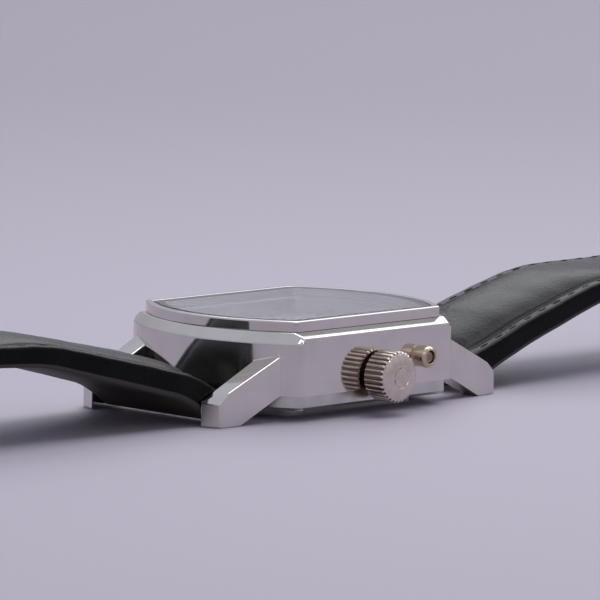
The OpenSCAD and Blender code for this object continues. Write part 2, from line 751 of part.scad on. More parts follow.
// Return spring: one wire wound around the rod, its ends closed against the button and the tube's floor
spring_turns = 5;
spring_from = pusher_tube_in + tube_floor + spring_wire / 2 + 0.02;
spring_to = button_x - button_l - spring_wire / 2 - 0.02;
spring_mean_r = rod_d / 2 + spring_wire / 2 + 0.09;
module pusher_spring() {
    sides = 8;
    per_turn = 20;
    n = spring_turns * per_turn;
    lead = (spring_to - spring_from) / (360 * spring_turns);
    rings = [for (i = [0:n]) let (a = 360 * i / per_turn) [for (k = [0:sides - 1])
        let (b = 360 * k / sides, r = spring_mean_r + spring_wire / 2 * cos(b))
        [spring_from + lead * a + spring_wire / 2 * sin(b), pusher_y + r * cos(a), pusher_z + r * sin(a)]]];
    points = [for (ring = rings) for (p = ring) p];
    walls = [for (i = [0:n - 1], k = [0:sides - 1]) let (a = i * sides + k, b = i * sides + (k + 1) % sides)
        each [[a, b, b + sides], [a, b + sides, a + sides]]];
    start_cap = [for (k = [1:sides - 2]) [0, k + 1, k]];
    end_cap = [for (k = [1:sides - 2]) [n * sides, n * sides + k, n * sides + k + 1]];
    color(STEEL) polyhedron(points, concat(walls, start_cap, end_cap));
}

module dial() {
    color(WHITE) difference() {
        union() {
            translate([0, 0, dial_back_z]) linear_extrude(dial_t) cavity_outline(fit);
            for (s = [-1, 1])
                z_rod(0.4, dial_back_z - 1, dial_back_z + 0.1, [0, s * (plate_r + 2)]);
        }
        z_rod(pipe_r + run, dial_back_z - 1, dial_z + 1);
    }
}

// Hour markers stand on a rectangle inside the opening, with a pair at 12 o'clock
marker_hw = bezel_hw - aperture_inset - 1.6;
marker_hl = bezel_hl - aperture_inset - 2.4;
module hour_markers() {
    color(STEEL) {
        for (h = [1:11]) {
            a = 90 - 30 * h;
            reach = min(marker_hw / max(abs(cos(a)), 0.01), marker_hl / max(abs(sin(a)), 0.01)) - 0.9;
            translate([reach * cos(a), reach * sin(a), dial_z]) rotate([0, 0, a])
                translate([-0.9, -0.25, 0]) cube([1.8, 0.5, marker_h]);
        }
        for (s = [-1, 1])
            translate([s * 0.5 - 0.25, marker_hl - 1.8, dial_z]) cube([0.5, 1.8, marker_h]);
    }
}

// A tapered hand that points along +Y, turned to its time
module hand(length, width, tail, z, hub_r, bore, turn_to) {
    rotate([0, 0, turn_to]) translate([0, 0, z]) difference() {
        union() {
            linear_extrude(hand_t) polygon([[-width / 2, 0], [-width * 0.55, length * 0.72], [0, length],
                [width * 0.55, length * 0.72], [width / 2, 0], [width * 0.3, -tail], [-width * 0.3, -tail]]);
            cylinder(r = hub_r, h = hand_t);
        }
        translate([0, 0, -1]) cylinder(r = bore, h = 2 + hand_t, $fn = 48);
    }
}

// The hands read eight minutes past ten, and the seconds hand points to 35
hour_turn = 360 - 30 * (10 + 8 / 60);
minute_turn = 360 - 6 * 8;
seconds_turn = 360 - 6 * 35;
module hour_hand() {
    color(STEEL) hand(hour_hand_l, 1, 1.2, hour_hand_z, 1.15, pipe_r, hour_turn);
}

module minute_hand() {
    color(STEEL) hand(minute_hand_l, 0.8, 1.4, minute_hand_z, 0.85, cannon_r, minute_turn);
}

module seconds_hand() {
    color(STEEL) hand(seconds_hand_l, 0.24, 2.6, seconds_hand_z, 0.5, seconds_arbor_r, seconds_turn);
}

// Plastic frame between the round movement and the case, with a skirt that stands on the case back
module movement_holder() {
    color(PLASTIC) difference() {
        union() {
            translate([0, 0, seam_z + 0.05]) linear_extrude(dial_back_z - seam_z - 0.05) cavity_outline(fit);
            z_rod(plate_r + holder_skirt, back_ledge_z + 0.02, seam_z + 1, fn = 96);
        }
        z_rod(plate_r + fit, 0, dial_back_z + 1, fn = 96);
        for (s = [-1, 1])
            z_rod(0.4 + run, dial_back_z - 1.3, dial_back_z + 1, [0, s * (plate_r + 2)]);
        translate([plate_r - 2, crown_y - flange_r - holder_slot, crown_z - flange_r - holder_slot])
            cube([half_w, 2 * (flange_r + holder_slot), dial_z]);
        translate([plate_r - 5, pusher_y - 1.4, bridge_z - 0.4]) cube([10, 2.8, 10]);
    }
}

module main_plate() {
    color(BRASS) difference() {
        z_rod(plate_r, bridge_top_z, dial_back_z - 0.02, fn = 96);
        z_rod(5.3, recess_z, dial_back_z + 1);
        z_rod(plate_r - rim_t, bridge_top_z - 1, web_z, fn = 96);
        z_rod(cannon_r + run, web_z - 1, recess_z + 1);
        for (p = [third_at, fifth_at, rotor_at])
            z_rod(arbor_r + run, web_z - 1, recess_z + 1, p);
        z_rod(arbor_r + run, web_z + 0.1, recess_z + 1, minute_at);
        z_rod(lever_rod_r + run, web_z - 1, web_z + 0.45, lever_pivot);
        x_rod(stem_d / 2 + 0.1, stem_tip_x, plate_r + 1, crown_y, crown_z);
        for (a = [90, 165, 270])
            z_rod(0.3, bridge_top_z - 1, bridge_top_z + 1.2, (plate_r - rim_t / 2) * [cos(a), sin(a)], 24);
    }
}

module train_bridge() {
    color(BRASS) difference() {
        z_rod(plate_r, bridge_z, bridge_top_z - 0.02, fn = 96);
        z_rod(seconds_arbor_r + run, bridge_z - 1, bridge_top_z + 1);
        for (p = [third_at, fifth_at])
            z_rod(arbor_r + run, bridge_z - 1, bridge_top_z + 1, p);
        z_rod(magnet_d / 2 + 0.2, bridge_z - 1, bridge_top_z + 1, rotor_at);
        translate([stem_tip_x - 0.2, crown_y - stem_slot_w / 2, bridge_z - 1]) cube([plate_r, stem_slot_w, 3]);
        for (a = [90, 165, 270])
            z_rod(0.3 + run, bridge_z - 1, bridge_top_z + 1, (plate_r - rim_t / 2) * [cos(a), sin(a)], 24);
    }
}

module bridge_screws() {
    color(STEEL) for (a = [90, 165, 270]) {
        at = (plate_r - rim_t / 2) * [cos(a), sin(a)];
        difference() {
            union() {
                z_rod(bridge_screw_r, bridge_z - 0.32, bridge_z - 0.02, at, 32);
                z_rod(0.27, bridge_z - 0.1, bridge_top_z + 1, at, 24);
            }
            translate([at[0], at[1], bridge_z - 0.32]) cube([0.14, 2, 0.24], center = true);
        }
    }
}

// Modules of the meshing pairs follow from the distances between their axes
rotor_m = 2 * rotor_a / (rotor_teeth + fifth_teeth);
fifth_m = 2 * fifth_a / (fifth_pinion + fourth_teeth);
fourth_m = 2 * third_a / (fourth_pinion + third_teeth);
third_m = 2 * third_a / (third_pinion + center_teeth);
cannon_m = 2 * motion_a / (cannon_teeth + minute_teeth);
minute_m = 2 * motion_a / (minute_pinion + hour_teeth);

module rotor() {
    color(STEEL) {
        z_rod(magnet_d / 2, bridge_z - 1, bridge_z - 0.1, rotor_at);
        z_rod(arbor_r, bridge_z - 1.3, recess_z - 0.05, rotor_at);
        wheel(rotor_teeth, rotor_m, wheel_2_z, rotor_at, mesh_spin(rotor_angle, rotor_teeth));
    }
}

module fifth_wheel() {
    color(BRASS) {
        z_rod(arbor_r, bridge_z + 0.05, recess_z - 0.05, fifth_at);
        wheel(fifth_teeth, rotor_m, wheel_2_z, fifth_at, rotor_angle);
        wheel(fifth_pinion, fifth_m, wheel_1_z, fifth_at, mesh_spin(fifth_angle, fifth_pinion));
    }
}

// The fourth wheel turns once a minute, and its long arbor carries the seconds hand
module fourth_wheel() {
    color(BRASS) {
        z_rod(seconds_arbor_r, bridge_z + 0.05, seconds_hand_z + hand_t);
        wheel(fourth_teeth, fifth_m, wheel_1_z, spin = fifth_angle);
        wheel(fourth_pinion, fourth_m, wheel_3_z, spin = mesh_spin(third_angle + 180, fourth_pinion));
    }
}

module third_wheel() {
    color(BRASS) {
        z_rod(arbor_r, bridge_z + 0.05, recess_z - 0.05, third_at);
        wheel(third_teeth, fourth_m, wheel_3_z, third_at, third_angle + 180);
        wheel(third_pinion, third_m, wheel_4_z, third_at, mesh_spin(third_angle, third_pinion));
    }
}

// The centre wheel turns once an hour, and its pipe carries the cannon pinion and the minute hand
module center_wheel() {
    color(BRASS) difference() {
        union() {
            z_rod(cannon_r, wheel_4_z, minute_hand_z + hand_t);
            wheel(center_teeth, third_m, wheel_4_z, spin = third_angle);
            wheel(cannon_teeth, cannon_m, motion_1_z, spin = mesh_spin(minute_angle + 180, cannon_teeth));
        }
        z_rod(cannon_bore, wheel_4_z - 1, minute_hand_z + 1);
    }
}

module minute_wheel() {
    color(BRASS) {
        z_rod(arbor_r, web_z + 0.15, motion_2_z + wheel_t, minute_at);
        wheel(minute_teeth, cannon_m, motion_1_z, minute_at, minute_angle + 180);
        wheel(minute_pinion, minute_m, motion_2_z, minute_at, mesh_spin(minute_angle, minute_pinion));
    }
}

module hour_wheel() {
    color(BRASS) difference() {
        union() {
            z_rod(pipe_r, motion_2_z, hour_hand_z + hand_t);
            wheel(hour_teeth, minute_m, motion_2_z, spin = minute_angle);
        }
        z_rod(pipe_bore, motion_2_z - 1, hour_hand_z + 1);
    }
}

// Soft iron plate: a ring around the rotor, and two arms that lie on the ends of the coil's core
module stator() {
    arm_w = 0.7;
    coil_x1 = coil_x0 + coil_l;
    color(STEEL) translate([0, 0, bridge_z - 0.8]) linear_extrude(0.5) difference() {
        union() {
            translate(rotor_at) circle(magnet_d / 2 + 0.9);
            translate([coil_x0, rotor_at[1] - 0.5]) square([coil_l, 1]);
            for (x = [coil_x0, coil_x1 - arm_w])
                translate([x, rotor_at[1] - 0.5]) square([arm_w, coil_y + 0.45 - rotor_at[1] + 0.5]);
        }
        translate(rotor_at) circle(magnet_d / 2 + 0.15);
    }
}

module coil() {
    color(COPPER) {
        x_rod(coil_r, coil_x0 + core_end, coil_x0 + coil_l - core_end, coil_y, coil_z);
        translate([coil_x0, coil_y - 0.45, coil_z - 0.4]) cube([coil_l, 0.9, 0.8]);
    }
}

module circuit_board() {
    color(BOARD) difference() {
        translate([0, 0, board_z]) linear_extrude(board_t - 0.02) intersection() {
            circle(plate_r - rim_t / 2 - bridge_screw_r - 0.2, $fn = 96);
            translate([-plate_r, 1.8]) square([plate_r + coil_x0 - 0.3, 4]);
        }
        z_rod(battery_d / 2 + 0.3, board_z - 1, board_z + 2, battery_at);
    }
}

module quartz_crystal() {
    color(STEEL) x_rod(0.7, -6.9, coil_x0 - 0.6, 4.6, board_z - 0.72);
}

module battery() {
    color(STEEL) {
        z_rod(battery_d / 2, battery_z + 0.3, battery_z + battery_t, battery_at);
        z_rod(battery_d / 2 - 0.8, battery_z, battery_z + 0.4, battery_at);
    }
}

// A spring strip under the battery, screwed down beside it
module battery_clamp() {
    foot = [2.6, -6.2];
    color(STEEL) {
        translate([0, 0, battery_z - 0.3]) linear_extrude(0.28) polygon([battery_at + [-2, -1.2],
            battery_at + [2.6, -3.4], foot + [0.9, -0.9], foot + [0.9, 0.9], battery_at + [2.6, 1], battery_at + [-2, 1]]);
        z_rod(0.7, battery_z - 0.1, bridge_z - 0.02, foot);
    }
}

// A leaf under the bridge, which the pusher's rod presses towards the movement
module contact_spring() {
    leaf_x = rod_tip_x - pusher_travel - 0.3;
    foot_x = 5.4;
    foot_z = bridge_z - 0.2;
    color(BRASS) {
        translate([foot_x, pusher_y - 0.9, foot_z]) cube([leaf_x - foot_x + 0.15, 1.1, 0.18]);
        translate([leaf_x, pusher_y - 0.9, foot_z]) cube([0.15, 1.8, pusher_z + 0.5 - foot_z]);
    }
}

module spring_bar(sy) {
    color(STEEL) difference() {
        x_rod(bar_d / 2, -bar_half, bar_half, sy * bar_y, bar_z);
        for (s = [-1, 1])
            x_rod(bar_bore, s > 0 ? bar_half - 3.4 : -bar_half - 1, s > 0 ? bar_half + 1 : 3.4 - bar_half,
                sy * bar_y, bar_z);
    }
}

// The end pin has a shank in the bar, a flange to press on, and a tip in the lug
module bar_pin(sx, sy) {
    color(STEEL) mirror([sx < 0 ? 1 : 0, 0, 0]) {
        x_rod(pin_d / 2, bar_half - 2.3, pin_end, sy * bar_y, bar_z);
        x_rod(bar_d / 2 - 0.05, flange_x, flange_x + flange_t, sy * bar_y, bar_z);
    }
}

// Strap slab along a path: its lower face stands half the edge's thickness below the path, and its
// upper face as far above it, or further by the padding
module strap_slab(points, sy, w, pad = 0) {
    low = [for (p = points) let (t = lookup(p[3], edge_t) / 2) [p[0] + t * sin(p[2]), p[1] - t * cos(p[2])]];
    top = [for (i = [len(points) - 1:-1:0])
        let (p = points[i], t = lookup(p[3], edge_t) / 2 + pad * lookup(p[3], pad_t))
        [p[0] - t * sin(p[2]), p[1] + t * cos(p[2])]];
    mirror([0, sy < 0 ? 1 : 0, 0]) rotate([90, 0, 90])
        linear_extrude(w, center = true) polygon(concat(low, top));
}

// Plan of a strap half: straight sides that draw in towards the end
strap_neck_l = 4;
strap_taper_l = 60;
module strap_plan(y0, y1, sy) {
    root = strap_root_w / 2;
    tip = strap_end_w / 2;
    neck_y = y0 + strap_neck_l;
    taper_y = y0 + strap_taper_l;
    mirror([0, sy < 0 ? 1 : 0, 0]) polygon([[-root, y0 - strap_neck_l], [root, y0 - strap_neck_l], [root, neck_y],
        [tip, taper_y], [tip, y1], [-tip, y1], [-tip, taper_y], [-root, neck_y]]);
}

module strap_long() {
    tip_r = strap_end_w * 0.62;
    tip_y = sqrt(tip_r * tip_r - pow(tip_r - strap_end_w / 2, 2)) - long_end_y;
    hole_end = long_end_y - last_hole;
    color(LEATHER) difference() {
        intersection() {
            union() {
                strap_slab(long_points, -1, strap_root_w);
                strap_slab(long_pad, -1, pad_w, 1);
                x_rod(loop_r, -strap_root_w / 2, strap_root_w / 2, -bar_y, bar_z);
            }
            translate([0, 0, -1]) linear_extrude(tall) intersection() {
                strap_plan(bar_y, long_end_y + 1, -1);
                union() {
                    translate([-tall / 2, tip_y]) square([tall, long_end_y]);
                    intersection_for (s = [-1, 1]) translate([s * (tip_r - strap_end_w / 2), tip_y]) circle(tip_r);
                }
            }
        }
        x_rod(loop_bore, -strap_root_w, strap_root_w, -bar_y, bar_z);
        for (i = [0:hole_count - 1])
            z_rod(hole_d / 2, -1, strap_end_t + 1, [0, -hole_end + i * hole_pitch]);
    }
}

module strap_short() {
    color(LEATHER) difference() {
        intersection() {
            union() {
                strap_slab(short_points, 1, strap_root_w);
                strap_slab(short_pad, 1, pad_w, 1);
                x_rod(loop_r, -strap_root_w / 2, strap_root_w / 2, bar_y, bar_z);
                x_rod(buckle_loop_r, -strap_end_w / 2, strap_end_w / 2, buckle_bar_y, buckle_bar_z);
            }
            translate([0, 0, -1]) linear_extrude(tall) strap_plan(bar_y, buckle_bar_y + buckle_loop_r + 1, 1);
        }
        x_rod(loop_bore, -strap_root_w, strap_root_w, bar_y, bar_z);
        x_rod(buckle_bar_d / 2 + run, -strap_root_w, strap_root_w, buckle_bar_y, buckle_bar_z);
        translate([-tongue_slot_w / 2, buckle_bar_y - tongue_slot_l, buckle_bar_z - tall / 2])
            cube([tongue_slot_w, tongue_slot_l + tall / 2, tall]);
    }
}

// A closed leather loop around the short half, at a distance from the buckle's bar
module keeper(distance) {
    mid = strap_end_t / 2 + soft;
    w = strap_end_w / 2 + 0.55;
    translate([0, buckle_bar_y - distance * cos(short_slope), buckle_bar_z + distance * sin(short_slope)])
        rotate([-short_slope, 0, 0]) translate([0, -keeper_l / 2, 0]) rotate([-90, 0, 0]) mirror([0, 1, 0])
            linear_extrude(keeper_l) difference() {
                translate([-w - keeper_t, -mid - keeper_t]) square([2 * (w + keeper_t), keeper_room + 2 * keeper_t]);
                translate([-w, -mid]) square([2 * w, keeper_room]);
            }
}

module fixed_keeper() {
    color(LEATHER) keeper(fixed_keeper_at);
}

module free_keeper() {
    color(LEATHER) keeper(free_keeper_at);
}

module buckle_bar() {
    w = buckle_gap / 2 + buckle_arm;
    color(STEEL) x_rod(buckle_bar_d / 2, -w + 0.2, w - 0.2, buckle_bar_y, buckle_bar_z);
}

// The frame lies on the table in front of the strap's end, and its front bar is round
module buckle_frame() {
    front_r = buckle_t / 2 + 0.15;
    front_y = buckle_bar_y + buckle_l - front_r;
    w = buckle_gap / 2;
    color(CHROME) difference() {
        union() {
            for (s = [-1, 1]) {
                x_rod(buckle_bar_d / 2 + 0.6, s > 0 ? w : -w - buckle_arm, s > 0 ? w + buckle_arm : -w,
                    buckle_bar_y, buckle_bar_z);
                translate([s > 0 ? w : -w - buckle_arm, buckle_bar_y, rest_gap])
                    cube([buckle_arm, front_y - buckle_bar_y, buckle_t]);
            }
            x_rod(front_r, -w - buckle_arm, w + buckle_arm, front_y, front_r + rest_gap);
        }
        x_rod(buckle_bar_d / 2 + run, -2 * w, 2 * w, buckle_bar_y, buckle_bar_z);
    }
}

// The tongue turns on the bar and lies on the front bar
module buckle_tongue() {
    front_r = buckle_t / 2 + 0.15;
    front_y = buckle_bar_y + buckle_l - front_r;
    reach = front_y - buckle_bar_y + 0.8;
    lift = 2 * front_r + rest_gap + tongue_d / 2 + 0.03 - buckle_bar_z;
    angle = atan2(lift, front_y - buckle_bar_y);
    color(CHROME) difference() {
        union() {
            x_rod(buckle_bar_d / 2 + 0.5, -tongue_d / 2 - 0.1, tongue_d / 2 + 0.1, buckle_bar_y, buckle_bar_z);
            translate([0, buckle_bar_y, buckle_bar_z]) rotate([angle, 0, 0]) rotate([-90, 0, 0])
                cylinder(d = tongue_d, h = reach, $fn = 32);
        }
        x_rod(buckle_bar_d / 2 + run, -tongue_d, tongue_d, buckle_bar_y, buckle_bar_z);
    }
}

mid_case();
bezel();
crystal();
crystal_gasket();
case_back();
case_back_gasket();
case_back_screws();
crown_tube();
crown();
crown_gasket();
stem();
setting_lever();
pusher_tube();
pusher();
pusher_spring();
pusher_clip();
dial();
hour_markers();
hour_hand();
minute_hand();
seconds_hand();
movement_holder();
main_plate();
train_bridge();
bridge_screws();
rotor();
fifth_wheel();
fourth_wheel();
third_wheel();
center_wheel();
minute_wheel();
hour_wheel();
stator();
coil();
circuit_board();
quartz_crystal();
battery();
battery_clamp();
contact_spring();
spring_bar(-1);  // spring_bar_6
spring_bar(1);  // spring_bar_12
bar_pin(1, -1);  // bar_pin_6_right
bar_pin(-1, -1);  // bar_pin_6_left
bar_pin(1, 1);  // bar_pin_12_right
bar_pin(-1, 1);  // bar_pin_12_left
strap_long();
strap_short();
fixed_keeper();
free_keeper();
buckle_bar();
buckle_frame();
buckle_tongue();
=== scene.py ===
"""Rectangular wristwatch: the visual model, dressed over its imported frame."""
import json
import logging
import math
import random
from collections.abc import Callable, Iterator
from contextlib import contextmanager
from dataclasses import dataclass, field
from enum import Enum

import bmesh
import bpy
from mathutils import Matrix, Vector


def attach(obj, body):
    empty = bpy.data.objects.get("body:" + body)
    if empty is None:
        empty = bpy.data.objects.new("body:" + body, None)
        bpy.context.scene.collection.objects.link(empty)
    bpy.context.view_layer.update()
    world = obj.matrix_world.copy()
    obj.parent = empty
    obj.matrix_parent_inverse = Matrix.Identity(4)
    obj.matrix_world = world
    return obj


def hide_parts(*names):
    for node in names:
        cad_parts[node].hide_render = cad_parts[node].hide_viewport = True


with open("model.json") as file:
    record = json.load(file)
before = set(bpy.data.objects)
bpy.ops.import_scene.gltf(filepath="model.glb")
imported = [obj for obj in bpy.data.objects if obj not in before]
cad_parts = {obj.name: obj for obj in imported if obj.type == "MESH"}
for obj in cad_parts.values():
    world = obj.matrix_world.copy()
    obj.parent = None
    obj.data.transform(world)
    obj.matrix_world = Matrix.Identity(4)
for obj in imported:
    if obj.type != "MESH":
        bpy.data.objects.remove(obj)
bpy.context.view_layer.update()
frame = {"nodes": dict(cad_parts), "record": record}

log = logging.getLogger("watch")
MM = 0.001
WELD = 2e-6  # points closer than this, in metres, are one point
FLAT_WITHIN = math.radians(0.4)  # faces that differ by less are one flat face
Colour = tuple[float, float, float]


class Half(Enum):
    """The two halves of the strap, by the way they leave the case."""

    LONG = -1
    SHORT = 1


class Wave(Enum):
    """The pattern types that a finish can ask a graph for."""

    NOISE = "ShaderNodeTexNoise"
    CELLS = "ShaderNodeTexVoronoi"


class Shade:
    """One socket of a material, on which plain arithmetic adds Math nodes."""

    def __init__(self, graph: "Graph", socket: bpy.types.NodeSocket) -> None:
        """Wraps a socket.

        Args:
            graph: The graph that the socket belongs to.
            socket: The output socket.
        """
        self.graph = graph
        self.socket = socket

    def _math(self, operation: str, *values: "Shade | float") -> "Shade":
        """Adds a Math node over the given values and returns its output."""
        return self.graph.node("ShaderNodeMath", {"operation": operation}, dict(enumerate(values)))

    def __add__(self, other: "Shade | float") -> "Shade":
        """Returns the sum."""
        return self._math("ADD", self, other)

    def __sub__(self, other: "Shade | float") -> "Shade":
        """Returns the difference."""
        return self._math("SUBTRACT", self, other)

    def __rsub__(self, other: float) -> "Shade":
        """Returns a number less this value."""
        return self._math("SUBTRACT", other, self)

    def __mul__(self, other: "Shade | float") -> "Shade":
        """Returns the product."""
        return self._math("MULTIPLY", self, other)

    def __truediv__(self, other: "Shade | float") -> "Shade":
        """Returns the quotient."""
        return self._math("DIVIDE", self, other)

    def __abs__(self) -> "Shade":
        """Returns the size without its sign."""
        return self._math("ABSOLUTE", self)

    def most(self, other: "Shade | float") -> "Shade":
        """Returns the larger of the two."""
        return self._math("MAXIMUM", self, other)

    def root(self) -> "Shade":
        """Returns the square root."""
        return self._math("SQRT", self)

    def sine(self) -> "Shade":
        """Returns the sine."""
        return self._math("SINE", self)

    def part(self) -> "Shade":
        """Returns the fraction left after the whole number."""
        return self._math("FRACT", self)

    def turn(self, other: "Shade") -> "Shade":
        """Returns the angle of the point (other, self), in radians."""
        return self._math("ARCTAN2", self, other)

    def step(self, low: float, high: float) -> "Shade":
        """Eases from 0 to 1 between two levels.

        Args:
            low: The level at which the result is 0.
            high: The level at which the result is 1.

        Returns:
            The eased value, held to 0 and 1 outside the levels.
        """
        settings = {"interpolation_type": "SMOOTHSTEP"}
        return self.graph.node("ShaderNodeMapRange", settings, {0: self, 1: low, 2: high, 3: 0.0, 4: 1.0})


class Graph:
    """A material under construction, with lengths in millimetres."""

    def __init__(self, name: str) -> None:
        """Starts an empty material.

        Args:
            name: The material's name.
        """
        self.material = bpy.data.materials.new(name)
        self.material.use_nodes = True
        self.tree = self.material.node_tree
        self.tree.nodes.clear()
        self.made: dict[str, Shade] = {}

    def node(
        self, kind: str, settings: dict | None = None, values: dict | None = None, out: int | str = 0
    ) -> Shade:
        """Adds a node of any type.

        Args:
            kind: The node's type.
            settings: Its properties, set before its sockets.
            values: Values or links by input name or number.
            out: The output to return.

        Returns:
            The chosen output.
        """
        made = self.tree.nodes.new(kind)
        for key, value in (settings or {}).items():
            setattr(made, key, value)
        for key, value in (values or {}).items():
            if isinstance(value, Shade):
                self.tree.links.new(value.socket, made.inputs[key])
            else:
                made.inputs[key].default_value = value
        return Shade(self, made.outputs[out])

    @property
    def point(self) -> Shade:
        """The point on the surface, in millimetres in the object's own frame."""
        if "point" not in self.made:
            place = self.node("ShaderNodeTexCoord", out="Object")
            values = {0: place, "Scale": 1 / MM}
            self.made["point"] = self.node("ShaderNodeVectorMath", {"operation": "SCALE"}, values)
        return self.made["point"]

    def axes(self) -> tuple[Shade, Shade, Shade]:
        """Returns the point's three coordinates in millimetres."""
        split = [self.node("ShaderNodeSeparateXYZ", values={0: self.point}, out=i) for i in range(3)]
        return split[0], split[1], split[2]

    def attribute(self, name: str) -> Shade:
        """Returns a number stored on the piece's points under a name."""
        return self.node("ShaderNodeAttribute", {"attribute_name": name}, out="Fac")

    def pattern(
        self, wave: Wave, size: float, detail: float = 2.0, stretch: Colour = (1.0, 1.0, 1.0)
    ) -> Shade:
        """Adds a noise or cell pattern.

        Args:
            wave: The kind of pattern.
            size: The size of its features, in millimetres.
            detail: The layers of finer pattern, for noise.
            stretch: How much longer the features are along each axis.

        Returns:
            A value from 0 to about 1.
        """
        scale = tuple(1 / (size * v) for v in stretch)
        place = self.node("ShaderNodeVectorMath", {"operation": "MULTIPLY"}, {0: self.point, 1: scale})
        values: dict = {"Vector": place, "Scale": 1.0}
        if wave is Wave.NOISE:
            values["Detail"] = detail
        return self.node(wave.value, None, values)

    def mix(self, share: Shade, low: "Colour | Shade", high: "Colour | Shade") -> Shade:
        """Mixes two colours by a share from 0 to 1."""
        values = {0: share}
        for key, value in ((6, low), (7, high)):
            values[key] = value if isinstance(value, Shade) else (*value, 1.0)
        return self.node("ShaderNodeMix", {"data_type": "RGBA"}, values, out=2)

    def finish(
        self, relief: Shade | None = None, depth: float = 0.02, **sockets: object
    ) -> bpy.types.Material:
        """Closes the material with one principled shader.

        Args:
            relief: A height that roughens the surface, from 0 to 1.
            depth: How deep that relief is, in millimetres.
            sockets: Values or links by socket name, with _ for a space.

        Returns:
            The finished material.
        """
        values = {}
        for key, value in sockets.items():
            fixed = isinstance(value, tuple) and len(value) == 3
            values[key.replace("_", " ")] = (*value, 1.0) if fixed else value
        if relief is not None:
            bump = {"Height": relief, "Distance": depth * MM, "Strength": 1.0}
            values["Normal"] = self.node("ShaderNodeBump", None, bump)
        shader = self.node("ShaderNodeBsdfPrincipled", None, values)
        end = self.tree.nodes.new("ShaderNodeOutputMaterial")
        self.tree.links.new(shader.socket, end.inputs["Surface"])
        return self.material


@dataclass(frozen=True)
class PolishedSteel:
    """Chrome-bright steel with a breath of smudges and a few fine pits."""

    tint: Colour = (0.68, 0.64, 0.61)
    rough: float = 0.07
    pits: float = 0.5

    def material(self, name: str) -> bpy.types.Material:
        """Makes the finish under a name."""
        g = Graph(name)
        smudge = g.pattern(Wave.NOISE, 5.0, 3.0)
        speck = g.pattern(Wave.CELLS, 1.1)
        place = g.pattern(Wave.NOISE, 2.2, 2.0).step(0.56, 0.66)
        pit = (1.0 - speck.step(0.03, 0.075)) * place * self.pits
        dull = tuple(v * 0.93 for v in self.tint)
        dark = tuple(v * 0.3 for v in self.tint)
        colour = g.mix(pit, g.mix(smudge.step(0.35, 0.7), self.tint, dull), dark)
        rough = smudge.step(0.4, 0.75) * 0.05 + self.rough + pit * 0.3
        wave = g.pattern(Wave.NOISE, 3.2, 1.0)
        return g.finish(relief=wave, depth=0.003, Base_Color=colour, Metallic=1.0, Roughness=rough)


@dataclass(frozen=True)
class TurnedSteel:
    """Plain machined steel with fine marks along one axis."""

    tint: Colour = (0.55, 0.55, 0.56)
    rough: float = 0.28
    along: Colour = (12.0, 1.0, 1.0)

    def material(self, name: str) -> bpy.types.Material:
        """Makes the finish under a name."""
        g = Graph(name)
        marks = g.pattern(Wave.NOISE, 0.12, 2.0, self.along)
        cloud = g.pattern(Wave.NOISE, 2.5, 2.0)
        colour = g.mix(cloud.step(0.3, 0.7), self.tint, tuple(v * 0.86 for v in self.tint))
        rough = marks * 0.16 + self.rough
        return g.finish(relief=marks, depth=0.004, Base_Color=colour, Metallic=1.0, Roughness=rough)


@dataclass(frozen=True)
class WornAndShadedPlate:
    """The crown's plating: bright on its crests, with painted shade, dark warm brown, in its grooves.

    Attributes:
        axis: The y and z of the piece's axis, in millimetres.
        crest, root: The radius from which it is free of painted shade and below which the painted shade is
            full.
        face: The x of its outer face, which the painted shade leaves out.
    """

    axis: tuple[float, float] = (0.1, 5.1)
    crest: float = 3.30
    root: float = 3.05
    face: float = 19.3
    tint: Colour = (0.66, 0.60, 0.56)
    aged: Colour = (0.62, 0.46, 0.34)
    # the colour of the painted shade in the grooves
    groove_shade: Colour = (0.20, 0.13, 0.08)
    rough: float = 0.16

    def material(self, name: str) -> bpy.types.Material:
        """Makes the finish under a name."""
        g = Graph(name)
        x, y, z = g.axes()
        dy = y - self.axis[0]
        dz = z - self.axis[1]
        radius = (dy * dy + dz * dz).root()
        face = x.step(self.face, self.face + 0.12)
        # painted shade: darker and browner below the crests, in the grooves, but not on the outer face
        low = (1.0 - radius.step(self.root, self.crest)) * (1.0 - face)
        cloud = g.pattern(Wave.NOISE, 0.9, 3.0)
        warm = tuple(0.5 * (a + b) for a, b in zip(self.tint, self.aged))
        plate = g.mix(cloud.step(0.35, 0.65), self.tint, warm)
        colour = g.mix(low * 0.85, plate, self.groove_shade)
        rough = cloud * 0.14 + self.rough + low * 0.2
        return g.finish(relief=cloud, depth=0.006, Base_Color=colour, Metallic=1.0, Roughness=rough)


@dataclass(frozen=True)
class GiltBrass:
    """Gilt brass of the movement with a fine frosted grain."""

    tint: Colour = (0.78, 0.60, 0.30)

    def material(self, name: str) -> bpy.types.Material:
        """Makes the finish under a name."""
        g = Graph(name)
        grain = g.pattern(Wave.NOISE, 0.15, 3.0)
        cloud = g.pattern(Wave.NOISE, 3.0, 2.0)
        colour = g.mix(cloud.step(0.3, 0.7), self.tint, tuple(v * 0.82 for v in self.tint))
        rough = grain * 0.2 + 0.26
        return g.finish(relief=grain, depth=0.01, Base_Color=colour, Metallic=1.0, Roughness=rough)


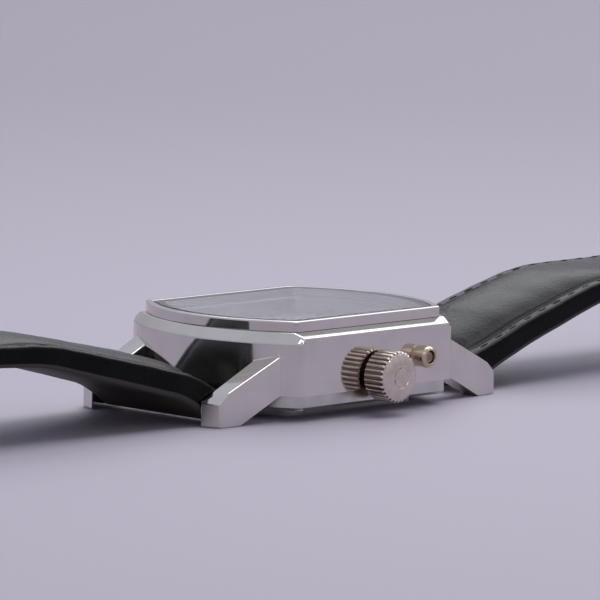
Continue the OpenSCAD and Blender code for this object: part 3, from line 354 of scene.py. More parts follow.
@dataclass(frozen=True)
class Leather:
    """Polished black leather: a fine pebbled grain, a bright sheen and, if lined, a paler lining below."""

    hide: Colour = (0.0012, 0.0012, 0.0016)
    worn: Colour = (0.005, 0.005, 0.0055)
    lining: Colour = (0.075, 0.066, 0.060)
    lined: bool = False
    rough: float = 0.15
    gloss: float = 0.1

    def material(self, name: str) -> bpy.types.Material:
        """Makes the finish under a name."""
        g = Graph(name)
        pebble = g.pattern(Wave.CELLS, 0.55)
        fine = g.pattern(Wave.NOISE, 0.16, 3.0)
        cloud = g.pattern(Wave.NOISE, 4.0, 3.0)
        crease = g.pattern(Wave.NOISE, 1.3, 2.0, (4.0, 1.0, 1.0))
        colour = g.mix(cloud.step(0.45, 0.8) * 0.7, self.hide, self.worn)
        rough = cloud * 0.14 + fine * 0.08 + self.rough
        if self.lined:
            under = 1.0 - g.attribute("layer").step(0.16, 0.22)
            colour = g.mix(under, colour, self.lining)
            rough = rough + under * 0.25
        height = pebble * 0.55 + fine * 0.3 + crease * 0.6
        sheen = {"Roughness": rough, "Specular_IOR_Level": self.gloss}
        return g.finish(relief=height, depth=0.04, Base_Color=colour, **sheen)


@dataclass(frozen=True)
class Rubber:
    """Dark sealing rubber."""

    tint: Colour = (0.005, 0.005, 0.0055)

    def material(self, name: str) -> bpy.types.Material:
        """Makes the finish under a name."""
        g = Graph(name)
        grain = g.pattern(Wave.NOISE, 0.1, 2.0)
        colour = g.mix(grain, self.tint, tuple(v * 1.7 for v in self.tint))
        return g.finish(relief=grain, depth=0.008, Base_Color=colour, Roughness=grain * 0.2 + 0.45)


@dataclass(frozen=True)
class Plastic:
    """Moulded plastic with a faint satin texture."""

    tint: Colour = (0.78, 0.76, 0.68)

    def material(self, name: str) -> bpy.types.Material:
        """Makes the finish under a name."""
        g = Graph(name)
        grain = g.pattern(Wave.NOISE, 0.2, 2.0)
        cloud = g.pattern(Wave.NOISE, 3.0, 1.0)
        colour = g.mix(cloud, self.tint, tuple(v * 0.92 for v in self.tint))
        return g.finish(relief=grain, depth=0.008, Base_Color=colour, Roughness=grain * 0.15 + 0.4)


@dataclass(frozen=True)
class Winding:
    """Turns of enamelled copper wire side by side along x, with painted shade in the grooves between them.
    """

    tint: Colour = (0.55, 0.24, 0.10)
    pitch: float = 0.16

    def material(self, name: str) -> bpy.types.Material:
        """Makes the finish under a name."""
        g = Graph(name)
        x, _, _ = g.axes()
        turn = (x * (2 * math.pi / self.pitch)).sine() * 0.5 + 0.5
        # painted shade: darker in the grooves between the turns
        colour = g.mix(turn, tuple(v * 0.4 for v in self.tint), self.tint)
        rough = turn * -0.15 + 0.45
        return g.finish(relief=turn, depth=0.04, Base_Color=colour, Metallic=0.6, Roughness=rough)


@dataclass(frozen=True)
class Laminate:
    """Green circuit board with copper lines under the lacquer."""

    tint: Colour = (0.03, 0.14, 0.06)
    line: Colour = (0.12, 0.30, 0.10)

    def material(self, name: str) -> bpy.types.Material:
        """Makes the finish under a name."""
        g = Graph(name)
        x, y, _ = g.axes()
        bars = (y * 1.1 + x.step(-4.2, -3.2) * 0.8).part() - 0.5
        line = 1.0 - abs(bars).step(0.1, 0.14)
        grain = g.pattern(Wave.NOISE, 0.12, 2.0)
        colour = g.mix(line * 0.8, self.tint, self.line)
        height = line + grain * 0.2
        return g.finish(relief=height, depth=0.03, Base_Color=colour, Roughness=grain * 0.15 + 0.3)


@dataclass(frozen=True)
class DialLacquer:
    """Silver dial with a fine sunray brushing and a printed minute track."""

    tint: Colour = (0.74, 0.74, 0.75)
    ink: Colour = (0.03, 0.03, 0.035)
    half_w: float = 11.2
    half_l: float = 13.2

    def material(self, name: str) -> bpy.types.Material:
        """Makes the finish under a name."""
        g = Graph(name)
        x, y, _ = g.axes()
        angle = y.turn(x)
        rays = (angle * 90.0).sine() * 0.5 + 0.5
        band = (abs(x) / self.half_w).most(abs(y) / self.half_l)
        track = band.step(0.925, 0.93) * (1.0 - band.step(0.965, 0.97))
        tick = 1.0 - abs((angle * (30.0 / math.pi) + 0.5).part() - 0.5).step(0.05, 0.09)
        rails = 1.0 - abs(abs(band - 0.9475) - 0.0225).step(0.003, 0.006)
        print_mask = (track * tick).most(rails)
        cloud = g.pattern(Wave.NOISE, 0.5, 2.0)
        ground = g.mix(rays * 0.5, self.tint, tuple(v * 0.9 for v in self.tint))
        colour = g.mix(print_mask, ground, self.ink)
        rough = rays * 0.08 + cloud * 0.06 + 0.3
        return g.finish(relief=rays, depth=0.006, Base_Color=colour, Metallic=0.35, Roughness=rough)


@dataclass(frozen=True)
class CrystalGlass:
    """Flat polished glass."""

    tint: Colour = (0.97, 0.98, 1.0)

    def material(self, name: str) -> bpy.types.Material:
        """Makes the finish under a name."""
        g = Graph(name)
        haze = g.pattern(Wave.NOISE, 6.0, 2.0)
        colour = g.mix(haze, self.tint, tuple(v * 0.97 for v in self.tint))
        return g.finish(Base_Color=colour, Roughness=haze * 0.02, IOR=1.52, Transmission_Weight=1.0)


@dataclass(frozen=True)
class Thread:
    """Waxed black thread with a twist along it, with painted shade in the grooves of the twist."""

    tint: Colour = (0.005, 0.005, 0.0055)

    def material(self, name: str) -> bpy.types.Material:
        """Makes the finish under a name."""
        g = Graph(name)
        _, y, _ = g.axes()
        twist = (y * 18.0).sine() * 0.5 + 0.5
        # painted shade: darker in the grooves of the twist
        colour = g.mix(twist, tuple(v * 0.5 for v in self.tint), self.tint)
        return g.finish(relief=twist, depth=0.03, Base_Color=colour, Roughness=twist * 0.1 + 0.45)


@dataclass(frozen=True)
class Rounding:
    """How the edges of a traced solid are rounded, in millimetres and degrees.

    Attributes:
        width: The width of the rounding.
        segments: The number of steps in it.
        angle: The least angle of an edge that is rounded.
        crisp: The angle from which an edge is shaded sharp.
        shortest: The least length of an edge that is rounded. At 0 every edge is, as far as it fits.
        level: With a shortest length, edges that lie wholly below this height stay sharp.
        reach: Edges with both ends this far along y or further are rounded below that height too.
    """

    width: float
    segments: int = 2
    angle: float = 30.0
    crisp: float = 35.0
    shortest: float = 0.0
    level: float = 0.0
    reach: float = 22.0

    def takes(self, edge: bmesh.types.BMEdge) -> bool:
        """Tells whether a sharp edge is one to round."""
        low = max(v.co.z for v in edge.verts) < self.level * MM
        near = min(abs(v.co.y) for v in edge.verts) < self.reach * MM
        return not (low and near) and edge.calc_length() >= self.shortest * MM


class Bench:
    """The modelling steps that the pieces share."""

    @staticmethod
    def take(piece: bpy.types.Object) -> None:
        """Makes one piece the only selected and active one."""
        bpy.ops.object.select_all(action="DESELECT")
        piece.select_set(True)
        bpy.context.view_layer.objects.active = piece

    @staticmethod
    @contextmanager
    def editing(piece: bpy.types.Object) -> Iterator[bmesh.types.BMesh]:
        """Opens a piece in edit mode with nothing selected.

        Args:
            piece: The piece to edit.

        Yields:
            The edit mesh, in which the caller selects by place.
        """
        Bench.take(piece)
        bpy.ops.object.mode_set(mode="EDIT")
        bpy.ops.mesh.select_mode(type="VERT")
        bpy.ops.mesh.select_all(action="DESELECT")
        try:
            yield bmesh.from_edit_mesh(piece.data)
        finally:
            bpy.ops.object.mode_set(mode="OBJECT")

    @staticmethod
    def pick_edges(
        piece: bpy.types.Object, mesh: bmesh.types.BMesh, test: Callable[[Vector, Vector], bool]
    ) -> None:
        """Selects the edges whose ends pass a test.

        Args:
            piece: The piece in edit mode.
            mesh: Its edit mesh.
            test: A test of the edge's two ends, in metres.
        """
        bpy.ops.mesh.select_all(action="DESELECT")
        bpy.ops.mesh.select_mode(type="EDGE")
        mesh.edges.ensure_lookup_table()
        for edge in mesh.edges:
            if test(edge.verts[0].co, edge.verts[1].co):
                edge.select_set(True)
        bmesh.update_edit_mesh(piece.data)

    @staticmethod
    def settle(piece: bpy.types.Object) -> None:
        """Puts a piece's place, turn and scale into its mesh."""
        Bench.take(piece)
        bpy.ops.object.transform_apply(location=True, rotation=True, scale=True)

    @staticmethod
    def modify(piece: bpy.types.Object, kind: str, **settings: object) -> None:
        """Adds a modifier and applies it.

        Args:
            piece: The piece.
            kind: The modifier's type.
            settings: Its properties.
        """
        Bench.take(piece)
        made = piece.modifiers.new(kind.title(), kind)
        for key, value in settings.items():
            setattr(made, key, value)
        bpy.ops.object.modifier_apply(modifier=made.name)

    @staticmethod
    def block(name: str, low: Colour, high: Colour) -> bpy.types.Object:
        """Adds a box between two corners given in millimetres."""
        bpy.ops.object.select_all(action="DESELECT")
        middle = [0.5 * (a + b) * MM for a, b in zip(low, high)]
        size = [(b - a) * MM for a, b in zip(low, high)]
        bpy.ops.mesh.primitive_cube_add(size=1.0, location=middle, scale=size)
        piece = bpy.context.object
        piece.name = name
        Bench.settle(piece)
        return piece

    @staticmethod
    def rod(
        name: str, radius: float, length: float, place: Colour, axis: str = "X", sides: int = 48
    ) -> bpy.types.Object:
        """Adds a cylinder along an axis, centred on a place, in millimetres."""
        turn = {"X": (0, math.pi / 2, 0), "Y": (math.pi / 2, 0, 0), "Z": (0, 0, 0)}[axis]
        bpy.ops.object.select_all(action="DESELECT")
        spot = [v * MM for v in place]
        bpy.ops.mesh.primitive_cylinder_add(
            vertices=sides, radius=radius * MM, depth=length * MM, location=spot, rotation=turn
        )
        piece = bpy.context.object
        piece.name = name
        Bench.settle(piece)
        return piece

    @staticmethod
    def cut(piece: bpy.types.Object, tool: bpy.types.Object) -> None:
        """Cuts one piece with another and removes the tool."""
        Bench.modify(piece, "BOOLEAN", operation="DIFFERENCE", object=tool, solver="EXACT")
        bpy.data.objects.remove(tool, do_unlink=True)

    @staticmethod
    def join(name: str, pieces: list[bpy.types.Object]) -> bpy.types.Object:
        """Joins pieces into one and returns it."""
        bpy.ops.object.select_all(action="DESELECT")
        for piece in pieces:
            piece.select_set(True)
        bpy.context.view_layer.objects.active = pieces[0]
        bpy.ops.object.join()
        pieces[0].name = name
        return pieces[0]

    @staticmethod
    def smooth(piece: bpy.types.Object, degrees: float = 35.0, weigh: bool = True) -> None:
        """Shades a piece smooth up to an angle, with its flat faces kept flat."""
        Bench.take(piece)
        bpy.ops.object.shade_smooth_by_angle(angle=math.radians(degrees))
        if weigh:
            Bench.modify(piece, "WEIGHTED_NORMAL", mode="FACE_AREA", weight=100, keep_sharp=True)

    @staticmethod
    def round_edges(piece: bpy.types.Object, rounding: Rounding) -> None:
        """Rounds a piece's sharp edges."""
        angle = math.radians(rounding.angle)
        if rounding.shortest <= 0:
            Bench.modify(
                piece, "BEVEL", width=rounding.width * MM, segments=rounding.segments, limit_method="ANGLE",
                angle_limit=angle, use_clamp_overlap=True, miter_outer="MITER_SHARP",
            )
            return
        with Bench.editing(piece) as mesh:
            bpy.ops.mesh.select_mode(type="EDGE")
            bpy.ops.mesh.edges_select_sharp(sharpness=angle)
            for edge in mesh.edges:
                if not rounding.takes(edge):
                    edge.select_set(False)
            bmesh.update_edit_mesh(piece.data)
            bpy.ops.mesh.bevel(
                offset=rounding.width * MM, segments=rounding.segments, affect="EDGES", clamp_overlap=False
            )

    @staticmethod
    def traced(node: str, rounding: Rounding) -> bpy.types.Object:
        """Copies a node's solid, merges it and rounds its edges.

        Args:
            node: The node's name.
            rounding: How its edges are rounded.

        Returns:
            The new piece, which replaces the node.
        """
        source = frame["nodes"][node]
        piece = bpy.data.objects.new(node + "_form", source.data.copy())
        piece.data.materials.clear()
        bpy.context.scene.collection.objects.link(piece)
        with Bench.editing(piece):
            bpy.ops.mesh.select_all(action="SELECT")
            bpy.ops.mesh.remove_doubles(threshold=WELD)
            bpy.ops.mesh.dissolve_limited(angle_limit=FLAT_WITHIN)
        Bench.round_edges(piece, rounding)
        Bench.smooth(piece, rounding.crisp)
        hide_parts(node)
        return piece


BODY_OF = {node: body for body, nodes in frame["record"]["behaviour"]["bodies"].items() for node in nodes}


def dress(piece: bpy.types.Object, node: str, material: bpy.types.Material) -> None:
    """Gives a piece a material and the body of the node that it stands for or lies on."""
    piece.data.materials.clear()
    piece.data.materials.append(material)
    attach(piece, BODY_OF[node])


def paint(node: str, material: bpy.types.Material) -> None:
    """Puts a material on a node that keeps its own solid."""
    slots = frame["nodes"][node].data.materials
    slots.clear()
    slots.append(material)


@dataclass
class CaseSet:
    """The case, its bezel, its back and what seals them."""

    edges: Rounding = Rounding(0.18, 4, 20.0, 22.0, shortest=0.3, level=4.4)
    bezel_edges: Rounding = Rounding(0.1, 4, 30.0, 22.0, shortest=0.3)
    back_edges: Rounding = Rounding(0.1, 3)
    screw_edges: Rounding = Rounding(0.05)
    finish: PolishedSteel = field(default_factory=PolishedSteel)

    def build(self) -> None:
        """Traces the outside metal and dresses it."""
        metal = self.finish.material("case_metal")
        back_metal = TurnedSteel(tint=(0.62, 0.60, 0.58), rough=0.16).material("back_metal")
        dress(Bench.traced("mid_case", self.edges), "mid_case", metal)
        dress(Bench.traced("bezel", self.bezel_edges), "bezel", metal)
        dress(Bench.traced("case_back", self.back_edges), "case_back", back_metal)
        screw_metal = TurnedSteel().material("screw_metal")
        dress(Bench.traced("case_back_screws", self.screw_edges), "case_back_screws", screw_metal)
        rubber = Rubber().material("gasket_rubber")
        for node in ("case_back_gasket", "crystal_gasket", "crown_gasket"):
            paint(node, rubber)
        log.info("case: traced and dressed")


@dataclass
class CrystalSet:
    """The flat crystal."""

    edges: Rounding = Rounding(0.08)

    def build(self) -> None:
        """Traces the crystal in glass."""
        dress(Bench.traced("crystal", self.edges), "crystal", CrystalGlass().material("crystal_glass"))
        log.info("crystal: traced and dressed")


@dataclass
class CrownSet:
    """The fluted crown, and the pusher with its tube."""

    crown_edges: Rounding = Rounding(0.07, 2, 25.0)
    pusher_edges: Rounding = Rounding(0.06)
    tube_edges: Rounding = Rounding(0.12, 3)
    pusher_axis: tuple[float, float] = (7.55, 6.95)

    def build(self) -> None:
        """Traces the pieces that stand out of the 3 o'clock side."""
        plate = WornAndShadedPlate().material("crown_plate")
        dress(Bench.traced("crown", self.crown_edges), "crown", plate)
        # on the pusher the painted shade darkens the metal towards its axis
        worn = WornAndShadedPlate(axis=self.pusher_axis, crest=1.6, root=0.0, tint=(0.66, 0.61, 0.58))
        dress(Bench.traced("pusher", self.pusher_edges), "pusher", worn.material("pusher_plate"))
        tube = PolishedSteel(tint=(0.60, 0.47, 0.36), rough=0.14).material("pusher_tube_metal")
        dress(Bench.traced("pusher_tube", self.tube_edges), "pusher_tube", tube)
        turned = TurnedSteel().material("stem_steel")
        for node in ("crown_tube", "stem", "setting_lever", "pusher_clip", "pusher_spring"):
            paint(node, turned)
        log.info("crown and pusher: traced and dressed")


@dataclass
class DialSet:
    """The dial, its markers and the three hands."""

    edges: Rounding = Rounding(0.04)

    def build(self) -> None:
        """Dresses the dial and traces what stands on it."""
        paint("dial", DialLacquer().material("dial_lacquer"))
        bright = PolishedSteel(tint=(0.55, 0.55, 0.57), rough=0.1, pits=0.0).material("hand_metal")
        for node in ("hour_markers", "hour_hand", "minute_hand", "seconds_hand"):
            dress(Bench.traced(node, self.edges), node, bright)
        log.info("dial and hands: dressed")


@dataclass
class MovementSet:
    """What the closed case hides: plates, train, motor and battery."""

    def build(self) -> None:
        """Gives each node of the movement its own finish."""
        brass = GiltBrass().material("plate_brass")
        wheel = GiltBrass(tint=(0.80, 0.66, 0.36)).material("wheel_brass")
        steel = TurnedSteel(along=(1.0, 1.0, 8.0)).material("movement_steel")
        for node in ("main_plate", "train_bridge", "contact_spring"):
            paint(node, brass)
        for name in ("fifth", "fourth", "third", "center", "minute", "hour"):
            paint(name + "_wheel", wheel)
        for node in ("bridge_screws", "rotor", "stator", "quartz_crystal", "battery", "battery_clamp"):
            paint(node, steel)
        paint("movement_holder", Plastic().material("holder_plastic"))
        paint("coil", Winding().material("coil_wire"))
        paint("circuit_board", Laminate().material("board_laminate"))
        log.info("movement: dressed")


@dataclass
class Path:
    """The middle line of a strap half, as arcs from the spring bar outwards, in millimetres and degrees.

    Attributes:
        start: Its slope at the spring bar.
        stretches: The length of each arc and the slope at its end.
        root_y, root_z: The spring bar's distance from the middle and its height.
    """

    half: Half
    start: float
    stretches: list[tuple[float, float]]
    root_y: float = 23.7
    root_z: float = 2.5

    @property
    def length(self) -> float:
        """The whole length of the line."""
        return sum(step for step, _ in self.stretches)

    def at(self, s: float) -> tuple[float, float, float]:
        """Finds the line's point and slope.

        Args:
            s: The distance from the spring bar; it may pass either end.

        Returns:
            y, z and the slope in radians, all on the +y side.
        """
        y, z, a0 = self.root_y, self.root_z, math.radians(self.start)
        if s < 0:
            return y + s * math.cos(a0), z + s * math.sin(a0), a0
        left = s
        for step, turn in self.stretches:
            a1 = math.radians(turn)
            run = min(left, step)
            bend = (a1 - a0) / step
            a = a0 + bend * run
            if math.isclose(bend, 0, abs_tol=1e-9):
                y += run * math.cos(a0)
                z += run * math.sin(a0)
            else:
                y += (math.sin(a) - math.sin(a0)) / bend
                z += (math.cos(a0) - math.cos(a)) / bend
            left -= run
            a0 = a
            if left <= 1e-12:
                return y, z, a
        return y + left * math.cos(a0), z + left * math.sin(a0), a0

    def place(self, x: float, s: float, h: float) -> Vector:
        """Puts a point given across, along and above the line into space, in metres."""
        y, z, a = self.at(s)
        return Vector((x, self.half.value * (y - h * math.sin(a)), z + h * math.cos(a))) * MM


def between(table: tuple[tuple[float, float], ...], s: float) -> float:
    """Reads a table of (place, value) pairs with straight lines between them."""
    if s <= table[0][0]:
        return table[0][1]
    for (s0, v0), (s1, v1) in zip(table, table[1:]):
        if s <= s1:
            return v0 + (v1 - v0) * (s - s0) / (s1 - s0)
    return table[-1][1]


BOX_EDGE = 0.3  # the rounding of the strap's starting box, in millimetres


@dataclass
class StrapHalf:
    """One padded half of the strap, from its loop on the spring bar to its end, in millimetres.

    Attributes:
        root_w, end_w: Its width before and after the stretch taper.
        loop_r, end_loop_r: The outer radius of its loops around the bars.
        pad_half: Half the padding's width at the spring bar.
        tunnel_r: The radius of the tunnel for the spring bar.
        corner_r: The radius of its long edges.
        margin: How far the seams lie inside its edges.
        edge, pad: Its thickness and the padding's height, by the place along the line.
        tip: How far the pointed tip reaches past the line.
        across: The places of the cuts over half the width, from the middle to the side.
    """

    node: str
    path: Path
    root_w: float = 19.7
    end_w: float = 16.0
    taper: tuple[float, float] = (4.0, 60.0)
    loop_r: float = 2.0
    pad_half: float = 7.4
    tunnel_r: float = 0.87
    corner_r: float = 0.55
    thread_r: float = 0.13
    margin: float = 1.15
    edge: tuple[tuple[float, float], ...] = ((0, 4.0), (7, 3.3), (22, 3.1), (34, 2.7), (60, 2.3), (200, 2.3))
    pad: tuple[tuple[float, float], ...] = (
        (0, 0.0), (2.2, 0.9), (4.5, 1.3), (12, 1.3), (28, 0.91), (44, 0.2), (60, 0.05), (200, 0.0),
    )
    tip: float = 0.0
    end_loop_r: float = 0.0
    stitch_end: float = 60.0
    across: tuple[float, ...] = (
        0.0, 0.24, 0.42, 0.54, 0.62, 0.67, 0.71, 0.735, 0.75, 0.763, 0.776, 0.79,
        0.805, 0.83, 0.87, 0.93, 1.0,
    )

    @property
    def end(self) -> float:
        """How far the half reaches along its line."""
        return self.path.length + self.end_loop_r

    def half_width(self, s: float) -> float:
        """Returns half the strap's width at a distance along it."""
        a, b = self.taper
        w = self.root_w + (self.end_w - self.root_w) * min(max((s - a) / (b - a), 0.0), 1.0)
        past = s - (self.end - self.tip)
        if self.tip and past > 0:
            r = 0.62 * self.end_w
            return max(math.sqrt(max(r * r - past * past, 0.0)) - (r - self.end_w / 2), 0.05)
        return w / 2

    def half_thick(self, s: float) -> float:
        """Returns half the thickness of the strap's edge, with its round ends."""
        t = between(self.edge, s) / 2
        if s < 0:
            return math.sqrt(max(self.loop_r**2 - s * s, 0.01))
        if s < 4:
            loop = math.sqrt(max(self.loop_r**2 - s * s, 0.0))
            t = max(t, loop)
        past = s - self.path.length
        if self.end_loop_r and abs(past) < self.end_loop_r:
            t = max(t if past < 0 else 0.1, math.sqrt(max(self.end_loop_r**2 - past * past, 0.01)))
        if self.tip:
            near = self.end - s
            if near < 0.5:
                t *= math.sqrt(max(1 - (1 - near / 0.5) ** 2, 0.04))
        return t

    def crown(self, x: float, s: float) -> float:
        """Returns how far the padded top stands above the edge, in millimetres."""
        u = min(abs(x) / (self.pad_half * self.half_width(s) / self.half_width(0)), 1.3)
        dome = max(0.0, 1 - u**3.0) ** 0.75
        seam = math.exp(-(((u - 1.035) / 0.03) ** 2))
        depth = between(self.pad, s)
        sewn = 1.0 if s < self.stitch_end + 8 else 0.3
        return depth * dome - 0.16 * seam * min(1.0, max(0.0, s / 4)) * sewn

    def stations(self) -> list[float]:
        """Returns the places of the cross-sections along the line."""
        loop, run, tip = 10, 190, 22
        first = [-self.loop_r * math.cos(math.pi / 2 * i / loop) for i in range(loop)]
        last = self.end - (self.tip or self.end_loop_r)
        middle = [last * i / run for i in range(run + 1)]
        reach = self.end - last
        return first + middle + [last + reach * math.sin(math.pi / 2 * i / tip) for i in range(1, tip + 1)]

    def slab(self) -> bpy.types.Object:
        """Starts the half as a box of 2 by 1 by 2 mm cut into rings, with its four long edges rounded."""
        rings = len(self.stations()) - 1
        piece = Bench.block(self.node + "_leather", (-1, 0, -1), (1, 1, 1))
        cuts = 2 * (len(self.across) - 1) - 1
        with Bench.editing(piece) as mesh:
            Bench.pick_edges(piece, mesh, lambda a, b: abs(a.y - b.y) > 0.5 * MM)
            bpy.ops.mesh.bevel(offset=BOX_EDGE * MM, segments=4, profile=0.5, affect="EDGES")
            Bench.pick_edges(piece, mesh, lambda a, b: abs(a.y - b.y) > 0.5 * MM)
            bpy.ops.mesh.subdivide(number_cuts=rings - 1)
            level = 0.999 * MM
            Bench.pick_edges(piece, mesh, lambda a, b: abs(a.x - b.x) > MM and abs(a.z) > level)
            bpy.ops.mesh.subdivide(number_cuts=cuts)
            Bench.pick_edges(piece, mesh, lambda a, b: abs(a.z - b.z) > MM and abs(a.x) > level)
            bpy.ops.mesh.subdivide(number_cuts=3)
        return piece

    def shape(self, piece: bpy.types.Object) -> None:
        """Bends the cut box into the strap and marks the height of each point in its layers."""
        stations = self.stations()
        rings = len(stations) - 1
        steps = 2 * (len(self.across) - 1)
        layer = piece.data.attributes.new("layer", "FLOAT", "POINT")
        rng = random.Random(11)
        wave = [rng.uniform(0, 2 * math.pi) for _ in range(3)]
        for i, vert in enumerate(piece.data.vertices):
            x, y, z = (v / MM for v in vert.co)
            s = stations[min(max(round(y * rings), 0), rings)]
            w = self.half_width(s)
            t = self.half_thick(s)
            flat = 1 - BOX_EDGE
            round_r = min(self.corner_r, t, w)
            if abs(x) <= flat + 1e-4:
                k = round((x / flat + 1) / 2 * steps)
                u = k / (steps / 2) - 1
                step = self.across[min(abs(k - steps // 2), len(self.across) - 1)]
                px = math.copysign(step, u) * (w - round_r)
            else:
                px = math.copysign(w - round_r + (abs(x) - flat) / BOX_EDGE * round_r, x)
            if abs(z) <= flat + 1e-4:
                h = z / flat * (t - round_r)
            else:
                h = math.copysign(t - round_r + (abs(z) - flat) / BOX_EDGE * round_r, z)
            layer.data[i].value = 0.5 * (h / t + 1)
            if z > 0:
                rise = self.crown(px, s) * min(1.0, max(0.0, z - 0.2) / 0.8)
                h += rise
            if 1 < s < self.end - 6:
                side = 0.07 * math.sin(s * 0.9 + wave[0]) * math.sin(s * 0.37 + wave[1])
                h += side * min(1.0, s / 4) * (0.6 if z > 0 else 0.2)
                px *= 1 - 0.004 * (1 + math.sin(s * 0.6 + wave[2]))
            vert.co = self.path.place(px, s, h)
        piece.data.update()

    def close(self, piece: bpy.types.Object) -> None:
        """Makes the faces point outwards."""
        with Bench.editing(piece):
            bpy.ops.mesh.select_all(action="SELECT")
            bpy.ops.mesh.normals_make_consistent(inside=False)

    def bore(self, piece: bpy.types.Object) -> None:
        """Cuts the tunnel for the spring bar."""
        y = self.path.half.value * self.path.root_y
        Bench.cut(piece, Bench.rod("bar_tunnel", self.tunnel_r, 30, (0, y, self.path.root_z)))

    def stitches(self) -> bpy.types.Object:
        """Sews both margins: one stitch is modelled and then copied along the line."""
        start, pitch, half = 5, 3.1, 1.1
        seed = Bench.rod("stitch", self.thread_r, 2 * half, (0, 0, 0), "Y", 8)
        with Bench.editing(seed) as mesh:
            Bench.pick_edges(seed, mesh, lambda a, b: abs(a.y - b.y) > MM)
            bpy.ops.mesh.subdivide(number_cuts=5)
        lines = []
        count = int((self.stitch_end - start) / pitch)
        for side in (-1, 1):
            for i in range(count):
                s0 = start + i * pitch
                copy = seed.copy()
                copy.data = seed.data.copy()
                bpy.context.scene.collection.objects.link(copy)
                for vert in copy.data.vertices:
                    x, y, z = (v / MM for v in vert.co)
                    s = s0 + y
                    px = side * (self.half_width(s) - self.margin) + x
                    dip = 0.32 * (abs(y) / half) ** 4
                    shrink = 1 - 0.4 * (abs(y) / half) ** 3
                    h = self.half_thick(s) + 0.01 + z * shrink - dip
                    vert.co = self.path.place(px, s, h)
                lines.append(copy)
        bpy.data.objects.remove(seed, do_unlink=True)
        piece = Bench.join(self.node + "_stitching", lines)
        Bench.smooth(piece, 60.0, weigh=False)
        return piece

    def build(self, leather: bpy.types.Material, thread: bpy.types.Material) -> None:
        """Models the half with its seams and dresses it."""
        piece = self.slab()
        self.shape(piece)
        self.close(piece)
        self.bore(piece)
        self.open_end(piece)
        Bench.smooth(piece, 40.0, weigh=False)
        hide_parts(self.node)
        dress(piece, self.node, leather)
        dress(self.stitches(), self.node, thread)
        log.info("%s: modelled, %d points", self.node, len(piece.data.vertices))

    def open_end(self, piece: bpy.types.Object) -> None:
        """Cuts what the end of the half needs."""


@dataclass
class LongHalf(StrapHalf):
    """The half with the holes and the pointed tip."""

    hole_r: float = 0.9
    holes: int = 7
    pitch: float = 5.0
    last_hole: float = 14.0

    def open_end(self, piece: bpy.types.Object) -> None:
        """Punches the row of holes."""
        tools = []
        for i in range(self.holes):
            y, z, _ = self.path.at(self.path.length - self.last_hole - i * self.pitch)
            tools.append(Bench.rod("punch", self.hole_r, 8, (0, self.path.half.value * y, z), "Z", 32))
        Bench.cut(piece, Bench.join("punches", tools))


@dataclass
class ShortHalf(StrapHalf):
    """The half that carries the buckle."""

    bar_r: float = 0.81
    slot_w: float = 2.0
    slot_l: float = 2.6

    def open_end(self, piece: bpy.types.Object) -> None:
        """Cuts the tunnel for the buckle's bar and the slot for its tongue."""
        y, z, _ = self.path.at(self.path.length)
        Bench.cut(piece, Bench.rod("buckle_tunnel", self.bar_r, 30, (0, y, z)))
        low = (-self.slot_w / 2, y - self.slot_l, z - 6)
        high = (self.slot_w / 2, y + 6, z + 6)
        Bench.cut(piece, Bench.block("tongue_slot", low, high))


@dataclass
class BuckleSet:
    """The keepers, the buckle with its tongue, and the bars with their pins."""

    keeper_edges: Rounding = Rounding(0.32, 4)
    frame_edges: Rounding = Rounding(0.25, 3)
    tongue_edges: Rounding = Rounding(0.12, 3)
    bar_edges: Rounding = Rounding(0.05)

    def build(self, leather: bpy.types.Material) -> None:
        """Traces the keepers in leather and the metal in steel."""
        for node in ("fixed_keeper", "free_keeper"):
            dress(Bench.traced(node, self.keeper_edges), node, leather)
        bright = PolishedSteel(rough=0.1).material("buckle_metal")
        dress(Bench.traced("buckle_frame", self.frame_edges), "buckle_frame", bright)
        dress(Bench.traced("buckle_tongue", self.tongue_edges), "buckle_tongue", bright)
        steel = TurnedSteel().material("bar_steel")
        pins = [f"bar_pin_{hour}_{side}" for hour in (6, 12) for side in ("right", "left")]
        for node in ("buckle_bar", "spring_bar_6", "spring_bar_12", *pins):
            dress(Bench.traced(node, self.bar_edges), node, steel)
        log.info("keepers, buckle and bars: traced and dressed")


@dataclass
class Lamp:
    """A soft rectangular lamp that faces the watch."""

    name: str
    direction: Colour
    distance: float
    size: tuple[float, float]
    level: float

    def build(self) -> None:
        """Hangs the lamp at its place, with its level as a brightness, not a power."""
        place = Vector(self.direction).normalized() * self.distance
        turn = (-place).to_track_quat("-Z", "Y").to_euler()
        bpy.ops.object.light_add(type="AREA", location=place, rotation=turn)
        lamp = bpy.context.object
        lamp.name = self.name
        lamp.data.shape = "RECTANGLE"
        lamp.data.size, lamp.data.size_y = self.size
        lamp.data.energy = self.level * math.pi * self.size[0] * self.size[1]


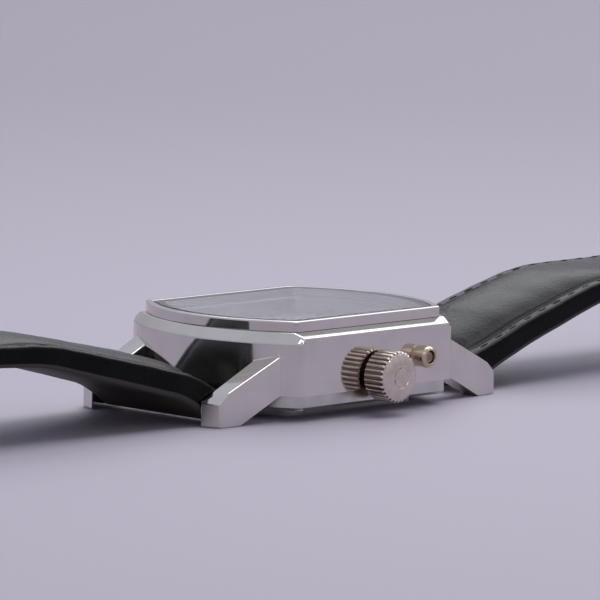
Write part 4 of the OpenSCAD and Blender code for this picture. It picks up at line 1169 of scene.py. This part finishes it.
@dataclass
class Studio:
    """The floor, the light and the camera of the photograph.

    Attributes:
        azimuth, elevation, roll: The camera's direction and turn, in degrees.
        focal_px: Its focal length, in pixels of a picture of picture_px.
        distance: Its distance from the origin, in millimetres.
        offset: The origin's place right of and above the picture's middle, in millimetres.
        falloff_shade: How much of the table's colour is lost at falloff_end, in millimetres, as painted
            shade that stands for the lamps' falloff.
        sky_low, sky_high: The room's colour at the horizon and overhead.
        fill: The room's brightness for what it lights, next to 1 for what mirrors it.
    """

    azimuth: float = 44.5
    elevation: float = 7.02
    roll: float = 0.98
    focal_px: float = 5741.66
    picture_px: float = 600
    distance: float = 753.33
    offset: tuple[float, float] = (-1.189, -13.148)
    floor_colour: Colour = (0.530, 0.480, 0.580)
    falloff_shade: float = 0.31
    falloff_end: float = 520.0
    sky_low: Colour = (0.42, 0.40, 0.46)
    sky_high: Colour = (0.55, 0.58, 0.66)
    fill: float = 0.45
    lamps: list[Lamp] = field(default_factory=lambda: [
        Lamp("rear_softbox", (-0.27, 0.68, 0.66), 1.5, (1.65, 1.08), 1.6),
        Lamp("top_softbox", (0.08, 0.25, 1.0), 1.6, (1.1, 1.1), 2.6),
        Lamp("front_softbox", (0.7, -0.6, 0.75), 1.2, (0.6, 0.5), 0.4),
    ])

    def floor(self) -> None:
        """Lays the pale table, with painted shade that darkens it away from the middle."""
        bpy.ops.object.select_all(action="DESELECT")
        bpy.ops.mesh.primitive_plane_add(size=8.0, location=(0, 0, 0))
        plane = bpy.context.object
        plane.name = "table"
        g = Graph("table_paper")
        cloud = g.pattern(Wave.NOISE, 180.0, 2.0)
        x, y, _ = g.axes()
        # painted shade: the table darkens with distance from the middle, for the lamps' falloff
        painted_falloff = (x * x + y * y).root().step(0.0, self.falloff_end)
        near = g.mix(cloud, self.floor_colour, tuple(v * 0.985 for v in self.floor_colour))
        colour = g.mix(painted_falloff * self.falloff_shade, near, (0.0, 0.0, 0.0))
        plane.data.materials.append(g.finish(Base_Color=colour, Roughness=0.62))

    def sky(self) -> None:
        """Lights everything softly, a little bluer from above."""
        world = bpy.data.worlds.new("soft_room")
        bpy.context.scene.world = world
        world.use_nodes = True
        tree = world.node_tree
        tree.nodes.clear()
        place = tree.nodes.new("ShaderNodeTexCoord")
        split = tree.nodes.new("ShaderNodeSeparateXYZ")
        ramp = tree.nodes.new("ShaderNodeValToRGB")
        ramp.color_ramp.elements[0].color = (*self.sky_low, 1)
        ramp.color_ramp.elements[1].color = (*self.sky_high, 1)
        ramp.color_ramp.elements[1].position = 0.5
        light = tree.nodes.new("ShaderNodeBackground")
        ray = tree.nodes.new("ShaderNodeLightPath")
        level = tree.nodes.new("ShaderNodeMapRange")
        level.inputs["To Min"].default_value = 1.0
        level.inputs["To Max"].default_value = self.fill
        end = tree.nodes.new("ShaderNodeOutputWorld")
        tree.links.new(ray.outputs["Is Diffuse Ray"], level.inputs["Value"])
        tree.links.new(level.outputs[0], light.inputs["Strength"])
        tree.links.new(place.outputs["Generated"], split.inputs[0])
        tree.links.new(split.outputs["Z"], ramp.inputs["Fac"])
        tree.links.new(ramp.outputs["Color"], light.inputs["Color"])
        tree.links.new(light.outputs["Background"], end.inputs["Surface"])

    def camera(self) -> None:
        """Sets the camera that was solved from the photograph."""
        a, e, r = (math.radians(v) for v in (self.azimuth, self.elevation, self.roll))
        back = Vector((math.sin(a) * math.cos(e), -math.cos(a) * math.cos(e), math.sin(e)))
        right = Vector((math.cos(a), math.sin(a), 0))
        up = back.cross(right)
        across = right * math.cos(r) + up * math.sin(r)
        above = up * math.cos(r) - right * math.sin(r)
        place = (back * self.distance - across * self.offset[0] - above * self.offset[1]) * MM
        data = bpy.data.cameras.new("photo_view")
        data.sensor_width = 36.0
        data.lens = self.focal_px * data.sensor_width / self.picture_px
        data.clip_start = 0.01
        data.clip_end = 20.0
        view = bpy.data.objects.new("photo_view", data)
        view.matrix_world = Matrix.Translation(place) @ Matrix((across, above, back)).transposed().to_4x4()
        bpy.context.scene.collection.objects.link(view)
        bpy.context.scene.camera = view

    def build(self) -> None:
        """Sets up the whole studio."""
        bpy.context.scene.view_settings.view_transform = "Standard"
        self.floor()
        self.sky()
        for lamp in self.lamps:
            lamp.build()
        self.camera()
        log.info("studio: ready")


def straps() -> list[StrapHalf]:
    """Returns the two halves in the shapes in which the watch lies."""
    long_path = Path(
        Half.LONG, 32,
        [(3, 31), (4, 14.5), (20, 13.5), (5, 3), (9, 2), (13, -30), (8.42, -30), (12, 0), (42, 0)],
    )
    short_path = Path(
        Half.SHORT, 22, [(7, 20), (9, 17), (11, 15), (8, 1), (14, 2), (10, -25), (20.23, -25)]
    )
    return [
        LongHalf("strap_long", long_path, tip=9.732, stitch_end=72.0),
        ShortHalf("strap_short", short_path, end_loop_r=1.7, stitch_end=56.0),
    ]


def main() -> None:
    """Builds the watch piece by piece and reports each."""
    logging.basicConfig(level=logging.INFO, format="%(name)s: %(message)s")
    CaseSet().build()
    CrystalSet().build()
    CrownSet().build()
    DialSet().build()
    MovementSet().build()
    leather = Leather(lined=True).material("strap_leather")
    thread = Thread().material("strap_thread")
    for half in straps():
        half.build(leather, thread)
    BuckleSet().build(Leather().material("keeper_leather"))
    Studio().build()


if __name__ == "__main__":
    main()
